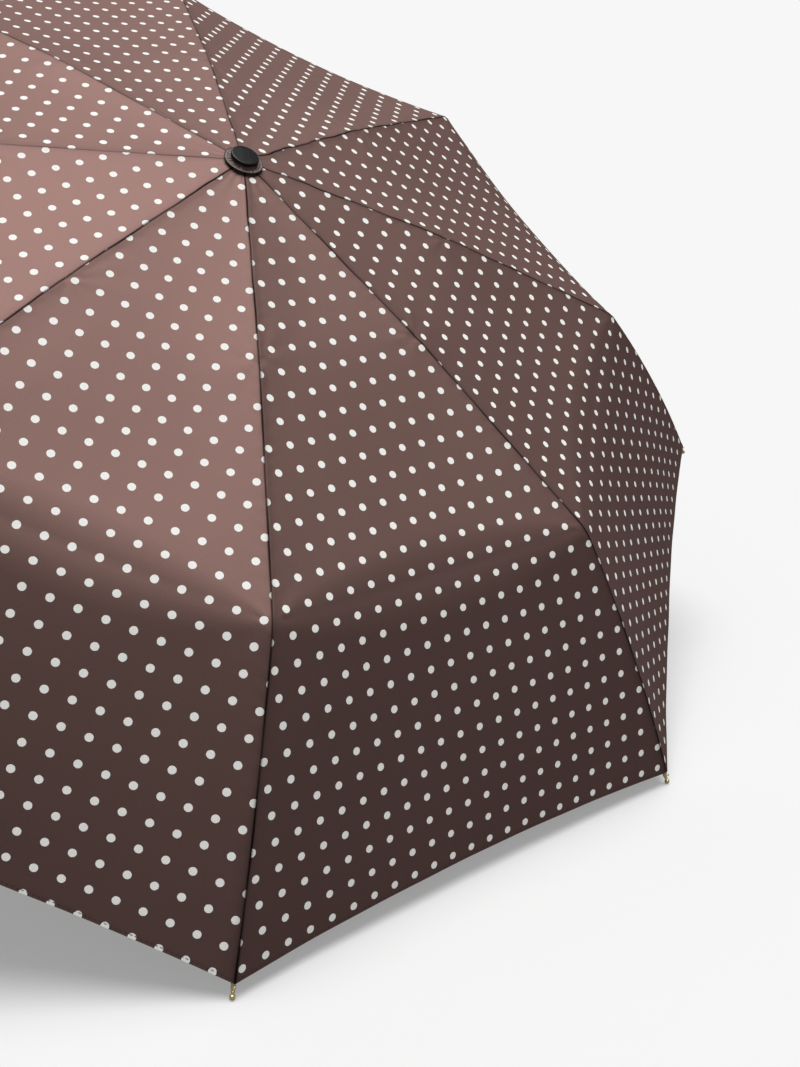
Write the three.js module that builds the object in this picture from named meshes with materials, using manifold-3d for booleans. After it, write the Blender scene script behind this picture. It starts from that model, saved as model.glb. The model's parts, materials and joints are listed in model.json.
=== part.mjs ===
// A compact three-fold umbrella, open, lying on two of its rib tips and on the end of its handle.
//
// Every piece is drawn in the umbrella's own frame: +Z runs up the shaft to the cap, and z = 0 is the
// plane of the crown's hinge wire. A rib is drawn along +X from its hinge, with +Z to its fabric side.
// The whole umbrella is then tilted until it rests, and stands on z = 0 with its box centred on Z.
// All sizes are in millimetres and all slopes in degrees below the horizontal of the umbrella.

import * as THREE from 'three';
import { mergeVertices } from 'three/addons/utils/BufferGeometryUtils.js';
import Module from 'manifold-3d';

const wasm = await Module();
wasm.setup();

// ---------------------------------------------------------------- driving dimensions

const ribCount = 8;
const runningGap = 0.3;        // between pieces that touch, slide or turn
const foldedGap = 0.8;         // between two rib sections folded onto each other

const topRib = { length: 152, slope: 9.9, closedSlope: 88 };
const middleRib = { length: 168, slope: 13.6 };
const outerRib = { length: 199, slope: 40.4, bow: 4, radius: 1.0 };
const channel = { width: 3.0, height: 3.0, wall: 0.5, solidEnd: 4 };
const rivetRadius = 0.5;
const eyeWall = 0.9;           // material around a rivet or wire hole
const ribEndMargin = 1;        // between a folded neighbour's eye and the end of a bar
const earThickness = 0.8;
const tongueThickness = 1.2;

const crown = { wall: 1.3, halfHeight: 3.0, rim: 1.9 };
const runner = { hubWall: 2.7, halfHeight: 2.6, rim: 1.9, wall: 2.4, collar: 5, collarProud: 1.6 };
const runnerOpenDepth = 61.8;  // runner hinge plane below the crown's, on the open umbrella
const stretcher = { reach: 90, height: 2.8, prong: 0.8, stem: 24, stemWidth: 2.4, bridge: 4 };

const tubeWall = 0.8;
const tubeProud = 0.6;         // upper tube above the fabric's underside
const upperTubeRadius = 6.0;
const tubeOverlap = 22;        // how far one extended tube stays inside the next
const tubeEndMargin = 6;       // upper tube below the closed runner
const tubeStop = 1;            // travel left over when two tubes are pushed together
const shaftReach = 510;        // crown hinge plane to the end of the handle
const handle = { length: 70, radius: 14, waist: 0.8, neck: 11, shoulder: 6, edge: 3, topEdge: 3.4 };
const handleSocket = { depth: 24, floorGap: 2 };

const cap = { radius: 9.5, thickness: 2.8, stemDepth: 8, edge: 1.6, lift: 1.2 };
const rosette = { radius: 13.3, thickness: 1.1 };
const tip = { ball: 1.75, collar: 1.45, bead: 1.25, socket: 3.0, neck: 1.0, spigot: 0.7, stem: 3.0 };
const spigotRoot = 1.5;        // how deep the spigot starts inside the rod

const fabric = { thickness: 0.4, holeGap: 1.0, clearance: 0.4, tipClearance: 0.65, tipInset: 2.5 };
const fabricSag = { atTopKnee: 2.5, atOuterKnee: 5, atHem: 4 };
const fabricRows = { top: [0.5, 1], middle: [0.5, 0.985], outer: [0.03, 0.27, 0.52, 0.77, 1] };
const hemInset = 6;            // how far the middle of a hem is drawn back from its two corners
const hemShare = 0.25;         // share of a gore's rows that the drawn-back hem pulls in
const strap = { width: 16, length: 150, thickness: 0.8, fromTip: 26, belowHem: 5.7 };
const runnerCatch = { width: 2.4, height: 12, shoulder: 4.8, proud: 1.3, depth: 3, below: 8, travel: 1.2 };
const skirtMargin = 4;         // runner below its catch's window

const hubSegments = 3 * ribCount;
const tubeSegments = 24;
const rodSides = 6;
const edgeSteps = 4;           // flats that make a rounded edge
const past = 1;                // how far a cutting shape reaches past what it cuts

// ---------------------------------------------------------------- sizes that follow

const radians = THREE.MathUtils.degToRad;
const hingeOffset = (channel.height + foldedGap) / 2;
const holeRadius = rivetRadius + runningGap;
const eyeRadius = holeRadius + eyeWall;
const earInside = tongueThickness / 2 + runningGap;
const barSetback = eyeRadius + foldedGap + ribEndMargin;
const gapAngle = Math.PI / ribCount;
const slopeOf = {
  top: radians(topRib.slope),
  middle: radians(middleRib.slope),
  outer: radians(outerRib.slope),
};

const hubBore = upperTubeRadius + runningGap;
const slotFloorToHinge = runningGap + eyeRadius;
const crownHingeRadius = hubBore + crown.wall + slotFloorToHinge;
const runnerHingeRadius = hubBore + runner.hubWall + slotFloorToHinge;
const runnerSkirt = runnerCatch.below + runnerCatch.height + skirtMargin;

// How far out from the runner's hinge the stretcher's end lies when the top rib has the given slope.
function stretcherAcross(slope) {
  return crownHingeRadius + stretcher.reach * Math.cos(slope) - runnerHingeRadius;
}

const stretcherLength = Math.hypot(
  stretcherAcross(slopeOf.top),
  runnerOpenDepth - stretcher.reach * Math.sin(slopeOf.top),
);

// How deep the runner's hinge lies under the crown's when the top rib has the given slope.
function runnerDepth(slope) {
  const rise = Math.sqrt(stretcherLength ** 2 - stretcherAcross(slope) ** 2);
  return stretcher.reach * Math.sin(slope) + rise;
}

// The slope at which the stretcher rises from the runner when the top rib has the given slope.
function stretcherRise(slope) {
  return Math.acos(stretcherAcross(slope) / stretcherLength);
}

const closedDepth = runnerDepth(radians(topRib.closedSlope));
const upperTubeBottom = -(closedDepth + runnerSkirt + tubeEndMargin);
const stageLength = (shaftReach - handle.length + upperTubeBottom) / 2;
const middleTubeBottom = upperTubeBottom - stageLength;
const handleTop = -(shaftReach - handle.length);
const lowerTubeBottom = handleTop - handleSocket.depth + handleSocket.floorGap;
const stageTravel = stageLength - tubeStop;

const tubeRadii = [0, 1, 2].map((step) => upperTubeRadius - step * (tubeWall + runningGap));

const fabricHole = upperTubeRadius + fabric.holeGap;
const fabricLift = hingeOffset + Math.max(eyeRadius, channel.height / 2) + fabric.clearance;
const fabricTipLift = tip.collar + fabric.tipClearance;

// The point [radius, height] of the umbrella's rib plane that lies at [x, z] of a rib section's frame.
function frameAt([radius, height], slope) {
  return (x, z) => [
    radius + x * Math.cos(slope) + z * Math.sin(slope),
    height - x * Math.sin(slope) + z * Math.cos(slope),
  ];
}

const topFrame = frameAt([crownHingeRadius, 0], slopeOf.top);
const middleFrame = frameAt(topFrame(topRib.length, hingeOffset), slopeOf.middle);
const outerFrame = frameAt(middleFrame(middleRib.length, -2 * hingeOffset), slopeOf.outer);

// ---------------------------------------------------------------- closed solids

// The geometry with its points merged and its flat triangles left out, so that it is one closed skin.
function closedSkin(geometry) {
  const bare = geometry.clone();
  bare.deleteAttribute('normal');
  bare.deleteAttribute('uv');
  const merged = mergeVertices(bare, 1e-4);
  const corners = merged.index.array;
  const kept = [];
  for (let i = 0; i < corners.length; i += 3) {
    const [a, b, c] = [corners[i], corners[i + 1], corners[i + 2]];
    if (a !== b && b !== c && c !== a) kept.push(a, b, c);
  }
  merged.setIndex(kept);
  return merged;
}

function asSolid(geometry) {
  const skin = closedSkin(geometry);
  const vertProperties = new Float32Array(skin.attributes.position.array);
  const triVerts = new Uint32Array(skin.index.array);
  return new wasm.Manifold(new wasm.Mesh({ numProp: 3, vertProperties, triVerts }));
}

function asGeometry(solid) {
  const { vertProperties, triVerts } = solid.getMesh();
  const geometry = new THREE.BufferGeometry();
  geometry.setAttribute('position', new THREE.BufferAttribute(vertProperties, 3));
  geometry.setIndex(new THREE.BufferAttribute(triVerts, 1));
  return geometry;
}

function joined(first, ...others) {
  return asGeometry(others.reduce((whole, one) => whole.add(asSolid(one)), asSolid(first)));
}

function cut(body, ...tools) {
  return asGeometry(tools.reduce((whole, tool) => whole.subtract(asSolid(tool)), asSolid(body)));
}

// The points of a rounded edge, in a quarter turn or less about [radius, height] from one turn to another.
function roundedEdge(radius, height, edge, from, to) {
  return Array.from({ length: edgeSteps + 1 }, (_, i) => {
    const turn = THREE.MathUtils.lerp(from, to, i / edgeSteps);
    return [radius + edge * Math.cos(turn), height + edge * Math.sin(turn)];
  });
}

// A box from its low corner to its high corner.
function block([x0, y0, z0], [x1, y1, z1]) {
  const box = new THREE.BoxGeometry(x1 - x0, y1 - y0, z1 - z0);
  return box.translate((x0 + x1) / 2, (y0 + y1) / 2, (z0 + z1) / 2);
}

// A solid turned about Z from [radius, height] points.
function turned(points, segments) {
  const lathe = new THREE.LatheGeometry(points.map(([r, z]) => new THREE.Vector2(r, z)), segments);
  return lathe.rotateX(Math.PI / 2);
}

// A tube wall or washer about Z.
function ring(inner, outer, low, high, segments) {
  return turned([[inner, low], [outer, low], [outer, high], [inner, high], [inner, low]], segments);
}

// A flat plate in the XZ plane, given by its outline, with its width lying along Y.
function plate(outline, y0, y1, hole) {
  const shape = new THREE.Shape(outline.map(([x, z]) => new THREE.Vector2(x, z)));
  if (hole) shape.holes.push(new THREE.Path().absarc(hole[0], hole[1], holeRadius, 0, 2 * Math.PI, true));
  const flat = new THREE.ExtrudeGeometry(shape, { depth: y1 - y0, bevelEnabled: false, curveSegments: 5 });
  return flat.rotateX(Math.PI / 2).translate(0, y1, 0);
}

// The outline of a plate that runs from a round eye to a straight edge at x = edge, between two heights.
function eyeOutline(x, z, edge, low, high) {
  const side = Math.sign(x - edge);
  const steps = 5;
  const arc = Array.from({ length: steps + 1 }, (_, i) => {
    const turn = side * (Math.PI * i / steps - Math.PI / 2);
    return [x + side * eyeRadius * Math.cos(turn), z + side * eyeRadius * Math.sin(turn)];
  });
  const outline = [...arc, [edge, high], [edge, low]];
  return side > 0 ? outline : outline.reverse();
}

// A rivet along Y through [x, z].
function rivet(x, z, halfLength) {
  return new THREE.CylinderGeometry(rivetRadius, rivetRadius, 2 * halfLength, 8).translate(x, 0, z);
}

// ---------------------------------------------------------------- ribs

// A straight channel along X, open on its underside, centred on the given height.
function channelBar(from, to, centre) {
  const halfWidth = channel.width / 2;
  const [low, high] = [centre - channel.height / 2, centre + channel.height / 2];
  const inside = halfWidth - channel.wall;
  const whole = block([from, -halfWidth, low], [to, halfWidth, high]);
  const hollow = block(
    [from + channel.solidEnd, -inside, low - past],
    [to - channel.solidEnd, inside, high - channel.wall],
  );
  return cut(whole, hollow);
}

// Two ears with a rivet across them, which hold a tongue between them.
function fork(x, z, edge, low, high) {
  const outline = eyeOutline(x, z, edge, low, high);
  const outside = earInside + earThickness;
  return [
    plate(outline, -outside, -earInside),
    plate(outline, earInside, outside),
    rivet(x, z, outside),
  ];
}

function tongue(x, z, edge, low, high, thickness = tongueThickness) {
  return plate(eyeOutline(x, z, edge, low, high), -thickness / 2, thickness / 2, [x, z]);
}

function topRibShape() {
  const half = channel.height / 2;
  const end = topRib.length - barSetback;
  return joined(
    channelBar(barSetback, end, 0),
    tongue(0, 0, barSetback + past, -half, half, channel.width),
    tongue(topRib.length, hingeOffset, end - past, -half, half),
  );
}

function middleRibShape() {
  const half = channel.height / 2;
  const end = middleRib.length - barSetback;
  const [low, high] = [-hingeOffset - half, -hingeOffset + half];
  return joined(
    channelBar(barSetback, end, -hingeOffset),
    ...fork(0, 0, barSetback + past, low, high),
    ...fork(middleRib.length, -2 * hingeOffset, end - past, low, high),
  );
}

// The bowed rod's centre line, from the tongue to the tip, above the line through its two ends.
function bowHeight(along) {
  const share = THREE.MathUtils.clamp(along / outerRib.length, 0, 1);
  return outerRib.bow * 4 * share * (1 - share);
}

class RodLine extends THREE.Curve {
  getPoint(t, target = new THREE.Vector3()) {
    const along = THREE.MathUtils.lerp(barSetback, outerRib.length - tip.socket - runningGap, t);
    return target.set(along, 0, hingeOffset + bowHeight(along));
  }
}

function outerRibShape() {
  const section = new THREE.Shape(Array.from({ length: rodSides }, (_, i) => {
    const turn = (i + 0.5) * 2 * Math.PI / rodSides;
    return new THREE.Vector2(outerRib.radius * Math.cos(turn), outerRib.radius * Math.sin(turn));
  }));
  const rod = new THREE.ExtrudeGeometry(section, { steps: 6, extrudePath: new RodLine() });
  const from = outerRib.length - tip.socket - spigotRoot;
  const spigot = new THREE.CylinderGeometry(tip.spigot, tip.spigot, outerRib.length - from, 8);
  spigot.rotateZ(Math.PI / 2).translate((from + outerRib.length) / 2, 0, hingeOffset);
  const [low, high] = [hingeOffset - outerRib.radius / 2, hingeOffset + outerRib.radius];
  return joined(rod, spigot, tongue(0, 0, barSetback + channel.solidEnd, low, high));
}

// The brass tip, along +Z from the mouth of its socket.
function tipShape() {
  const bore = tip.spigot + runningGap;
  const floor = tip.socket + 2 * runningGap;
  const ballCentre = floor + tip.stem + tip.ball;
  const ballStart = -Math.acos(tip.neck / tip.ball);
  const alongStem = (share) => floor + share * tip.stem;
  return turned([
    [0, floor], [bore, floor], [bore, 0], [tip.collar, 0], [tip.collar, alongStem(0.2)],
    [tip.neck, alongStem(0.4)], [tip.bead, alongStem(0.63)], [tip.neck, alongStem(0.86)],
    ...roundedEdge(0, ballCentre, tip.ball, ballStart, Math.PI / 2),
  ], 8);
}

function stretcherShape() {
  const half = stretcher.height / 2;
  const inside = channel.width / 2 + runningGap;
  const outside = inside + stretcher.prong;
  const bridge = stretcher.stem - stretcher.bridge;
  const outline = eyeOutline(stretcherLength, 0, bridge, -half, half);
  return joined(
    tongue(0, 0, stretcher.stem, -half, half, stretcher.stemWidth),
    block([bridge, -outside, -half], [stretcher.stem, outside, half]),
    plate(outline, -outside, -inside),
    plate(outline, inside, outside),
  );
}

// ---------------------------------------------------------------- crown, runner and shaft

// A hub with a slot for each rib, and a groove around it that holds the hinge wire.
function slottedHub(hub, hingeRadius, slotWidth) {
  const [low, high] = [-hub.halfHeight, hub.halfHeight];
  const outer = hingeRadius + hub.rim;
  const inner = hingeRadius - slotFloorToHinge;
  const wireSeat = hingeRadius - holeRadius;
  const body = turned([
    [hubBore, low], [outer, low], [outer, -holeRadius], [wireSeat, -holeRadius],
    [wireSeat, holeRadius], [outer, holeRadius], [outer, high], [hubBore, high], [hubBore, low],
  ], hubSegments);
  const slots = Array.from({ length: ribCount }, (_, i) => {
    const slot = block([inner, -slotWidth / 2, low - past], [outer + past, slotWidth / 2, high + past]);
    return slot.rotateZ(ribAngle(i));
  });
  return cut(body, ...slots);
}

// The ring of wire on which the ribs or stretchers turn.
function hingeWire(radius) {
  return new THREE.TorusGeometry(radius, rivetRadius, 6, hubSegments);
}

function ribAngle(index) {
  return -Math.PI / 2 + (2 * index - 1) * gapAngle;
}

const catchAngle = Math.PI / 2;
const catchTop = -runnerOpenDepth - runnerCatch.below;
const catchBottom = catchTop - runnerCatch.height;

function crownShape() {
  return slottedHub(crown, crownHingeRadius, channel.width + 2 * runningGap);
}

// The runner, with its hinge wire's plane at z = 0: a slotted head, a skirt and a grip collar.
function runnerShape() {
  const head = slottedHub(runner, runnerHingeRadius, stretcher.stemWidth + 2 * runningGap);
  const skirtOuter = hubBore + runner.wall;
  const collarOuter = skirtOuter + runner.collarProud;
  const skirt = ring(hubBore, skirtOuter, -runnerSkirt, -runner.halfHeight / 2, hubSegments);
  const collar = ring(hubBore, collarOuter, -runnerSkirt, -runnerSkirt + runner.collar, hubSegments);
  const whole = joined(head, skirt, collar);
  const keyHalf = runnerCatch.width / 2 + runningGap;
  const keyDepth = upperTubeRadius + runnerCatch.proud + runningGap;
  const key = block(
    [hubBore - past, -keyHalf, -runnerSkirt - past],
    [keyDepth, keyHalf, runner.halfHeight + past],
  );
  const window = block(
    [hubBore - past, -keyHalf, -runnerCatch.below - runnerCatch.height - past],
    [skirtOuter + past, keyHalf, -runnerCatch.below + past],
  );
  return cut(whole, key.rotateZ(catchAngle), window.rotateZ(catchAngle));
}

function upperTubeShape() {
  const inner = upperTubeRadius - tubeWall;
  const wall = ring(inner, upperTubeRadius, upperTubeBottom, fabricLift + tubeProud, tubeSegments);
  const half = runnerCatch.width / 2 + runningGap;
  const slot = block(
    [inner - past, -half, catchBottom - runningGap],
    [upperTubeRadius + past, half, catchTop + runningGap],
  );
  return cut(wall, slot.rotateZ(catchAngle));
}

// The runner's catch: a blade in the tube's slot, bevelled above so that the runner rides over it.
function catchShape() {
  const outside = upperTubeRadius + runnerCatch.proud;
  const inside = outside - runnerCatch.depth - runnerCatch.travel;
  const outline = [
    [inside, catchBottom], [outside, catchBottom], [outside, catchBottom + runnerCatch.shoulder],
    [inside + runnerCatch.travel, catchTop], [inside, catchTop],
  ];
  return plate(outline, -runnerCatch.width / 2, runnerCatch.width / 2).rotateZ(catchAngle);
}

// One of the two tubes that slide in the upper one, up to its overlap with the tube that holds it.
function innerTubeShape(step, bottom, holderBottom) {
  const radius = tubeRadii[step];
  return ring(radius - tubeWall, radius, bottom, holderBottom + tubeOverlap, tubeSegments);
}

function handleShape() {
  const end = -shaftReach;
  const bore = tubeRadii[2] + runningGap;
  const { edge, topEdge } = handle;
  const socketFloor = handleTop - handleSocket.depth;
  return turned([
    [0, end],
    ...roundedEdge(handle.radius - edge, end + edge, edge, -Math.PI / 2, 0),
    [handle.radius - handle.waist, end + handle.length / 2],
    [handle.neck, handleTop - handle.shoulder],
    ...roundedEdge(handle.neck - topEdge, handleTop - topEdge, topEdge, 0, Math.PI / 2),
    [bore, handleTop], [bore, socketFloor], [0, socketFloor],
  ], tubeSegments);
}

// ---------------------------------------------------------------- cap and rosette

const stemRadius = upperTubeRadius - tubeWall - runningGap;
const [, fabricTop] = topFrame(fabricHole - crownHingeRadius, fabricLift + fabric.thickness);
const rosetteBottom = fabricTop + 2 * runningGap;
const rosetteTop = rosetteBottom + rosette.thickness;
const capBottom = rosetteTop + cap.lift;

function rosetteShape() {
  return ring(stemRadius + runningGap, rosette.radius, rosetteBottom, rosetteTop, tubeSegments);
}

function capShape() {
  const top = capBottom + cap.thickness;
  return turned([
    [0, capBottom - cap.stemDepth], [stemRadius, capBottom - cap.stemDepth],
    [stemRadius, capBottom], [cap.radius, capBottom],
    ...roundedEdge(cap.radius - cap.edge, top - cap.edge, cap.edge, 0, Math.PI / 2),
    [0, top],
  ], tubeSegments);
}

// ---------------------------------------------------------------- canopy

// A point over the outer rib, at a share of its length, as high over the bowed rod as the fabric lies.
function overOuterRib(share, raise) {
  const along = share * (outerRib.length - fabric.tipInset);
  const lift = THREE.MathUtils.lerp(fabricLift, fabricTipLift, share);
  return outerFrame(along, hingeOffset + bowHeight(along) + lift + raise);
}

// The rows of a gore from the hub to the hem: each gives its point over the rib, and how far its
// middle sags inwards from the straight line between two ribs.
function goreRows(raise) {
  const { atTopKnee, atOuterKnee, atHem } = fabricSag;
  const { lerp } = THREE.MathUtils;
  const overTop = (share) => topFrame(share * topRib.length, fabricLift + raise);
  const overMiddle = (share) => middleFrame(share * middleRib.length, fabricLift - hingeOffset + raise);
  return [
    [topFrame(fabricHole - crownHingeRadius, fabricLift + raise), 0],
    ...fabricRows.top.map((share) => [overTop(share), share * atTopKnee]),
    ...fabricRows.middle.map((share) => [overMiddle(share), lerp(atTopKnee, atOuterKnee, share)]),
    ...fabricRows.outer.map((share) => [overOuterRib(share, raise), lerp(atOuterKnee, atHem, share)]),
  ];
}

const goreColumns = 6;

// One layer of a gore's skin: a grid of points between two ribs, about the gore's middle plane.
function goreLayer(raise) {
  const rows = goreRows(raise);
  return rows.flatMap(([[radius, height], sag], row) => {
    const share = row / (rows.length - 1);
    const hemPull = hemInset * Math.max(0, 1 - (1 - share) / hemShare) ** 2;
    const halfWidth = radius * Math.sin(gapAngle) - runningGap / 2;
    return Array.from({ length: goreColumns + 1 }, (_, column) => {
      const across = 2 * column / goreColumns - 1;
      const hollow = 1 - across ** 2;
      const inwards = hollow * (sag * Math.sin(slopeOf.middle) + hemPull * Math.cos(slopeOf.outer));
      const upwards = hollow * (-sag * Math.cos(slopeOf.middle) + hemPull * Math.sin(slopeOf.outer));
      return new THREE.Vector3(
        radius * Math.cos(gapAngle) - inwards,
        across * halfWidth,
        height + upwards,
      );
    });
  });
}

// A gore as a thin closed shell of fabric, its middle along +X.
function goreShape() {
  const below = goreLayer(0);
  const above = goreLayer(fabric.thickness);
  const across = goreColumns + 1;
  const rowCount = below.length / across;
  const shift = below.length;
  const faces = [];
  const quad = (a, b, c, d) => faces.push(a, b, c, a, c, d);
  for (let row = 0; row < rowCount - 1; row += 1) {
    for (let column = 0; column < goreColumns; column += 1) {
      const a = row * across + column;
      quad(a + shift, a + across + shift, a + across + 1 + shift, a + 1 + shift);
      quad(a, a + 1, a + across + 1, a + across);
    }
    const [left, right] = [row * across, row * across + goreColumns];
    quad(left, left + across, left + across + shift, left + shift);
    quad(right + across, right, right + shift, right + across + shift);
  }
  const lastRow = (rowCount - 1) * across;
  for (let column = 0; column < goreColumns; column += 1) {
    quad(column + 1, column, column + shift, column + 1 + shift);
    quad(lastRow + column, lastRow + column + 1, lastRow + column + 1 + shift, lastRow + column + shift);
  }
  const geometry = new THREE.BufferGeometry();
  geometry.setFromPoints([...below, ...above]);
  geometry.setIndex(faces);
  return geometry;
}

// ---------------------------------------------------------------- materials and assembly

const finishes = {
  fabric: { color: 0x5b4843, roughness: 0.7, metalness: 0.0 },
  blackPlastic: { color: 0x161718, roughness: 0.45, metalness: 0.0 },
  steel: { color: 0x9b9da0, roughness: 0.35, metalness: 0.9 },
  blackSteel: { color: 0x1d1d1f, roughness: 0.4, metalness: 0.6 },
  wire: { color: 0x8a8c90, roughness: 0.3, metalness: 0.9 },
  brass: { color: 0xd9b35a, roughness: 0.25, metalness: 1.0 },
};

function piece(name, geometry, finish) {
  const mesh = new THREE.Mesh(closedSkin(geometry), new THREE.MeshStandardMaterial(finishes[finish]));
  mesh.name = name;
  return mesh;
}

// A group that marks a hinge: it turns about its own Y, and holds what the hinge carries.
function hinge(name, place, turn, ...carried) {
  const group = new THREE.Group();
  group.name = name;
  group.position.set(...place);
  group.rotation.y = turn;
  group.add(...carried);
  return group;
}

function ribAssembly(index) {
  const number = index + 1;
  const brassTip = piece(`rib_tip_${number}`, tipShape(), 'brass');
  brassTip.position.set(outerRib.length - tip.socket, 0, hingeOffset);
  brassTip.rotation.y = Math.PI / 2;
  const outer = hinge(
    `outer_rib_hinge_${number}`,
    [middleRib.length, 0, -2 * hingeOffset],
    slopeOf.outer - slopeOf.middle,
    piece(`outer_rib_${number}`, outerRibShape(), 'blackSteel'),
    brassTip,
  );
  const middle = hinge(
    `middle_rib_hinge_${number}`,
    [topRib.length, 0, hingeOffset],
    slopeOf.middle - slopeOf.top,
    piece(`middle_rib_${number}`, middleRibShape(), 'blackSteel'),
    outer,
  );
  const top = hinge(
    `top_rib_hinge_${number}`,
    [crownHingeRadius, 0, 0],
    slopeOf.top,
    piece(`top_rib_${number}`, topRibShape(), 'blackSteel'),
    middle,
  );
  const stay = hinge(
    `stretcher_hinge_${number}`,
    [runnerHingeRadius, 0, -runnerOpenDepth],
    -stretcherRise(slopeOf.top),
    piece(`stretcher_${number}`, stretcherShape(), 'blackSteel'),
  );
  const plane = new THREE.Group();
  plane.rotation.z = ribAngle(index);
  plane.add(top, stay);
  return plane;
}

function goreAssembly(index) {
  const gore = piece(`gore_${index + 1}`, goreShape(), 'fabric');
  gore.rotation.z = ribAngle(index) + gapAngle;
  return gore;
}

function shaftAssembly() {
  const shaft = new THREE.Group();
  const slider = new THREE.Group();
  slider.name = 'runner_plane';
  slider.position.z = -runnerOpenDepth;
  slider.add(
    piece('runner', runnerShape(), 'blackPlastic'),
    piece('runner_wire', hingeWire(runnerHingeRadius), 'wire'),
  );
  shaft.add(
    piece('upper_tube', upperTubeShape(), 'steel'),
    piece('middle_tube', innerTubeShape(1, middleTubeBottom, upperTubeBottom), 'steel'),
    piece('lower_tube', innerTubeShape(2, lowerTubeBottom, middleTubeBottom), 'steel'),
    piece('handle', handleShape(), 'blackPlastic'),
    piece('crown', crownShape(), 'blackPlastic'),
    piece('crown_wire', hingeWire(crownHingeRadius), 'wire'),
    piece('runner_catch', catchShape(), 'steel'),
    piece('rosette', rosetteShape(), 'fabric'),
    piece('cap', capShape(), 'blackPlastic'),
    slider,
  );
  return shaft;
}

// The tilt at which the tips of the two front ribs and the handle's edge touch one plane. Each of them
// is a ball there: its centre [y, z] and its radius, in the umbrella's own frame.
function restingTilt() {
  const ballAlong = outerRib.length + 2 * runningGap + tip.stem + tip.ball;
  const [tipRadius, tipHeight] = outerFrame(ballAlong, hingeOffset);
  const [tipY, tipZ] = [-tipRadius * Math.cos(gapAngle), tipHeight];
  const [edgeY, edgeZ] = [-(handle.radius - handle.edge), -shaftReach + handle.edge];
  const [dy, dz] = [edgeY - tipY, tipZ - edgeZ];
  return Math.acos((tip.ball - handle.edge) / Math.hypot(dy, dz)) - Math.atan2(dy, dz);
}

// The closing strap, which hangs straight down from the hem of the highest gore.
function strapAssembly(umbrella) {
  const half = strap.width / 2;
  const shape = block([-half, -strap.thickness / 2, -strap.length], [half, strap.thickness / 2, 0]);
  const [radius, height] = goreRows(0).at(-1)[0];
  const corner = new THREE.Vector3(radius * Math.cos(gapAngle), radius * Math.sin(gapAngle), height);
  corner.applyAxisAngle(new THREE.Vector3(0, 0, 1), Math.PI / 2).applyMatrix4(umbrella.matrixWorld);
  const mesh = piece('closing_strap', shape, 'fabric');
  mesh.position.set(corner.x + strap.fromTip, corner.y - hemInset, corner.z - strap.belowHem);
  return mesh;
}

const umbrella = new THREE.Group();
umbrella.name = 'umbrella';
for (let index = 0; index < ribCount; index += 1) umbrella.add(ribAssembly(index), goreAssembly(index));
umbrella.add(shaftAssembly());
umbrella.rotation.x = restingTilt();
umbrella.updateMatrixWorld(true);

const laid = new THREE.Group();
laid.add(umbrella, strapAssembly(umbrella));
laid.updateMatrixWorld(true);
const extent = new THREE.Box3().setFromObject(laid, true);
laid.position.set(-(extent.min.x + extent.max.x) / 2, -(extent.min.y + extent.max.y) / 2, -extent.min.z);

// How far each motion runs from the open umbrella to the closed one, in millimetres and degrees.
laid.userData = {
  runner: closedDepth - runnerOpenDepth,
  topRib: topRib.closedSlope - topRib.slope,
  middleRib: -(90 + topRib.closedSlope) + topRib.slope - middleRib.slope,
  outerRib: 180 - (outerRib.slope - middleRib.slope),
  stretcher: THREE.MathUtils.radToDeg(
    stretcherRise(slopeOf.top) - stretcherRise(radians(topRib.closedSlope)),
  ),
  tubeStage: stageTravel,
  runnerCatch: runnerCatch.travel,
};

export default laid;
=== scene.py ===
"""A compact three-fold umbrella, open and lying on two rib tips and the end of its handle."""

import json
import logging
import math
from dataclasses import dataclass, field
from enum import Enum

import bpy
import numpy as np
from mathutils import Euler, Matrix, Vector


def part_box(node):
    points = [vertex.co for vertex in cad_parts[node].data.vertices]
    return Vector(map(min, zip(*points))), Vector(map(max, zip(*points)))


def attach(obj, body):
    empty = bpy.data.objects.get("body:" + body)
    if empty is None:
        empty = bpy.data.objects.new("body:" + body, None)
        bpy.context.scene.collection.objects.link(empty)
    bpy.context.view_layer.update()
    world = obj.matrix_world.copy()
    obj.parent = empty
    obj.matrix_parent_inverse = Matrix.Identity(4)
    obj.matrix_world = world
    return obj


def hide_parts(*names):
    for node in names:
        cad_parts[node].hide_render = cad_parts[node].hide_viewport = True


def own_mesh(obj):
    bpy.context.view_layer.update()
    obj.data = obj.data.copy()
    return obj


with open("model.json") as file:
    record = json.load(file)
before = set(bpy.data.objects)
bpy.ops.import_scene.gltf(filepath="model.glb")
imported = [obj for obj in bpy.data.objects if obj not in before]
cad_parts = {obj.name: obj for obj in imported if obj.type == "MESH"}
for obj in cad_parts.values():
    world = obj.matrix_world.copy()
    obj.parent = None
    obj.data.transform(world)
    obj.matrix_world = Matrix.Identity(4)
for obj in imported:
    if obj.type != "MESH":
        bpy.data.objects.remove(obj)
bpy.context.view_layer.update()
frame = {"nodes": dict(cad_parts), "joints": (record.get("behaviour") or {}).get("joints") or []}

MM = 0.001
RIBS = 8
HALF_GORE = math.pi / RIBS

log = logging.getLogger("umbrella")


# ---------------------------------------------------------------- the umbrella's own axes


class Section(Enum):
    """The three sections of a rib, from the crown outwards."""

    TOP = "top"
    MIDDLE = "middle"
    OUTER = "outer"


class Side(Enum):
    """The two halves of a gore, each carried by the rib on that side."""

    LEFT = -1
    RIGHT = 1


def joint(name: str) -> dict:
    """One joint of the record.

    Args:
        name: the joint's name.

    Returns:
        The joint's entry in the record.
    """
    return next(entry for entry in frame["joints"] if entry["name"] == name)


def rib_azimuth(number: float) -> float:
    """The direction of rib `number`, counted from 1, about the shaft."""
    return -math.pi / 2 + (2 * number - 3) * HALF_GORE


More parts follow.
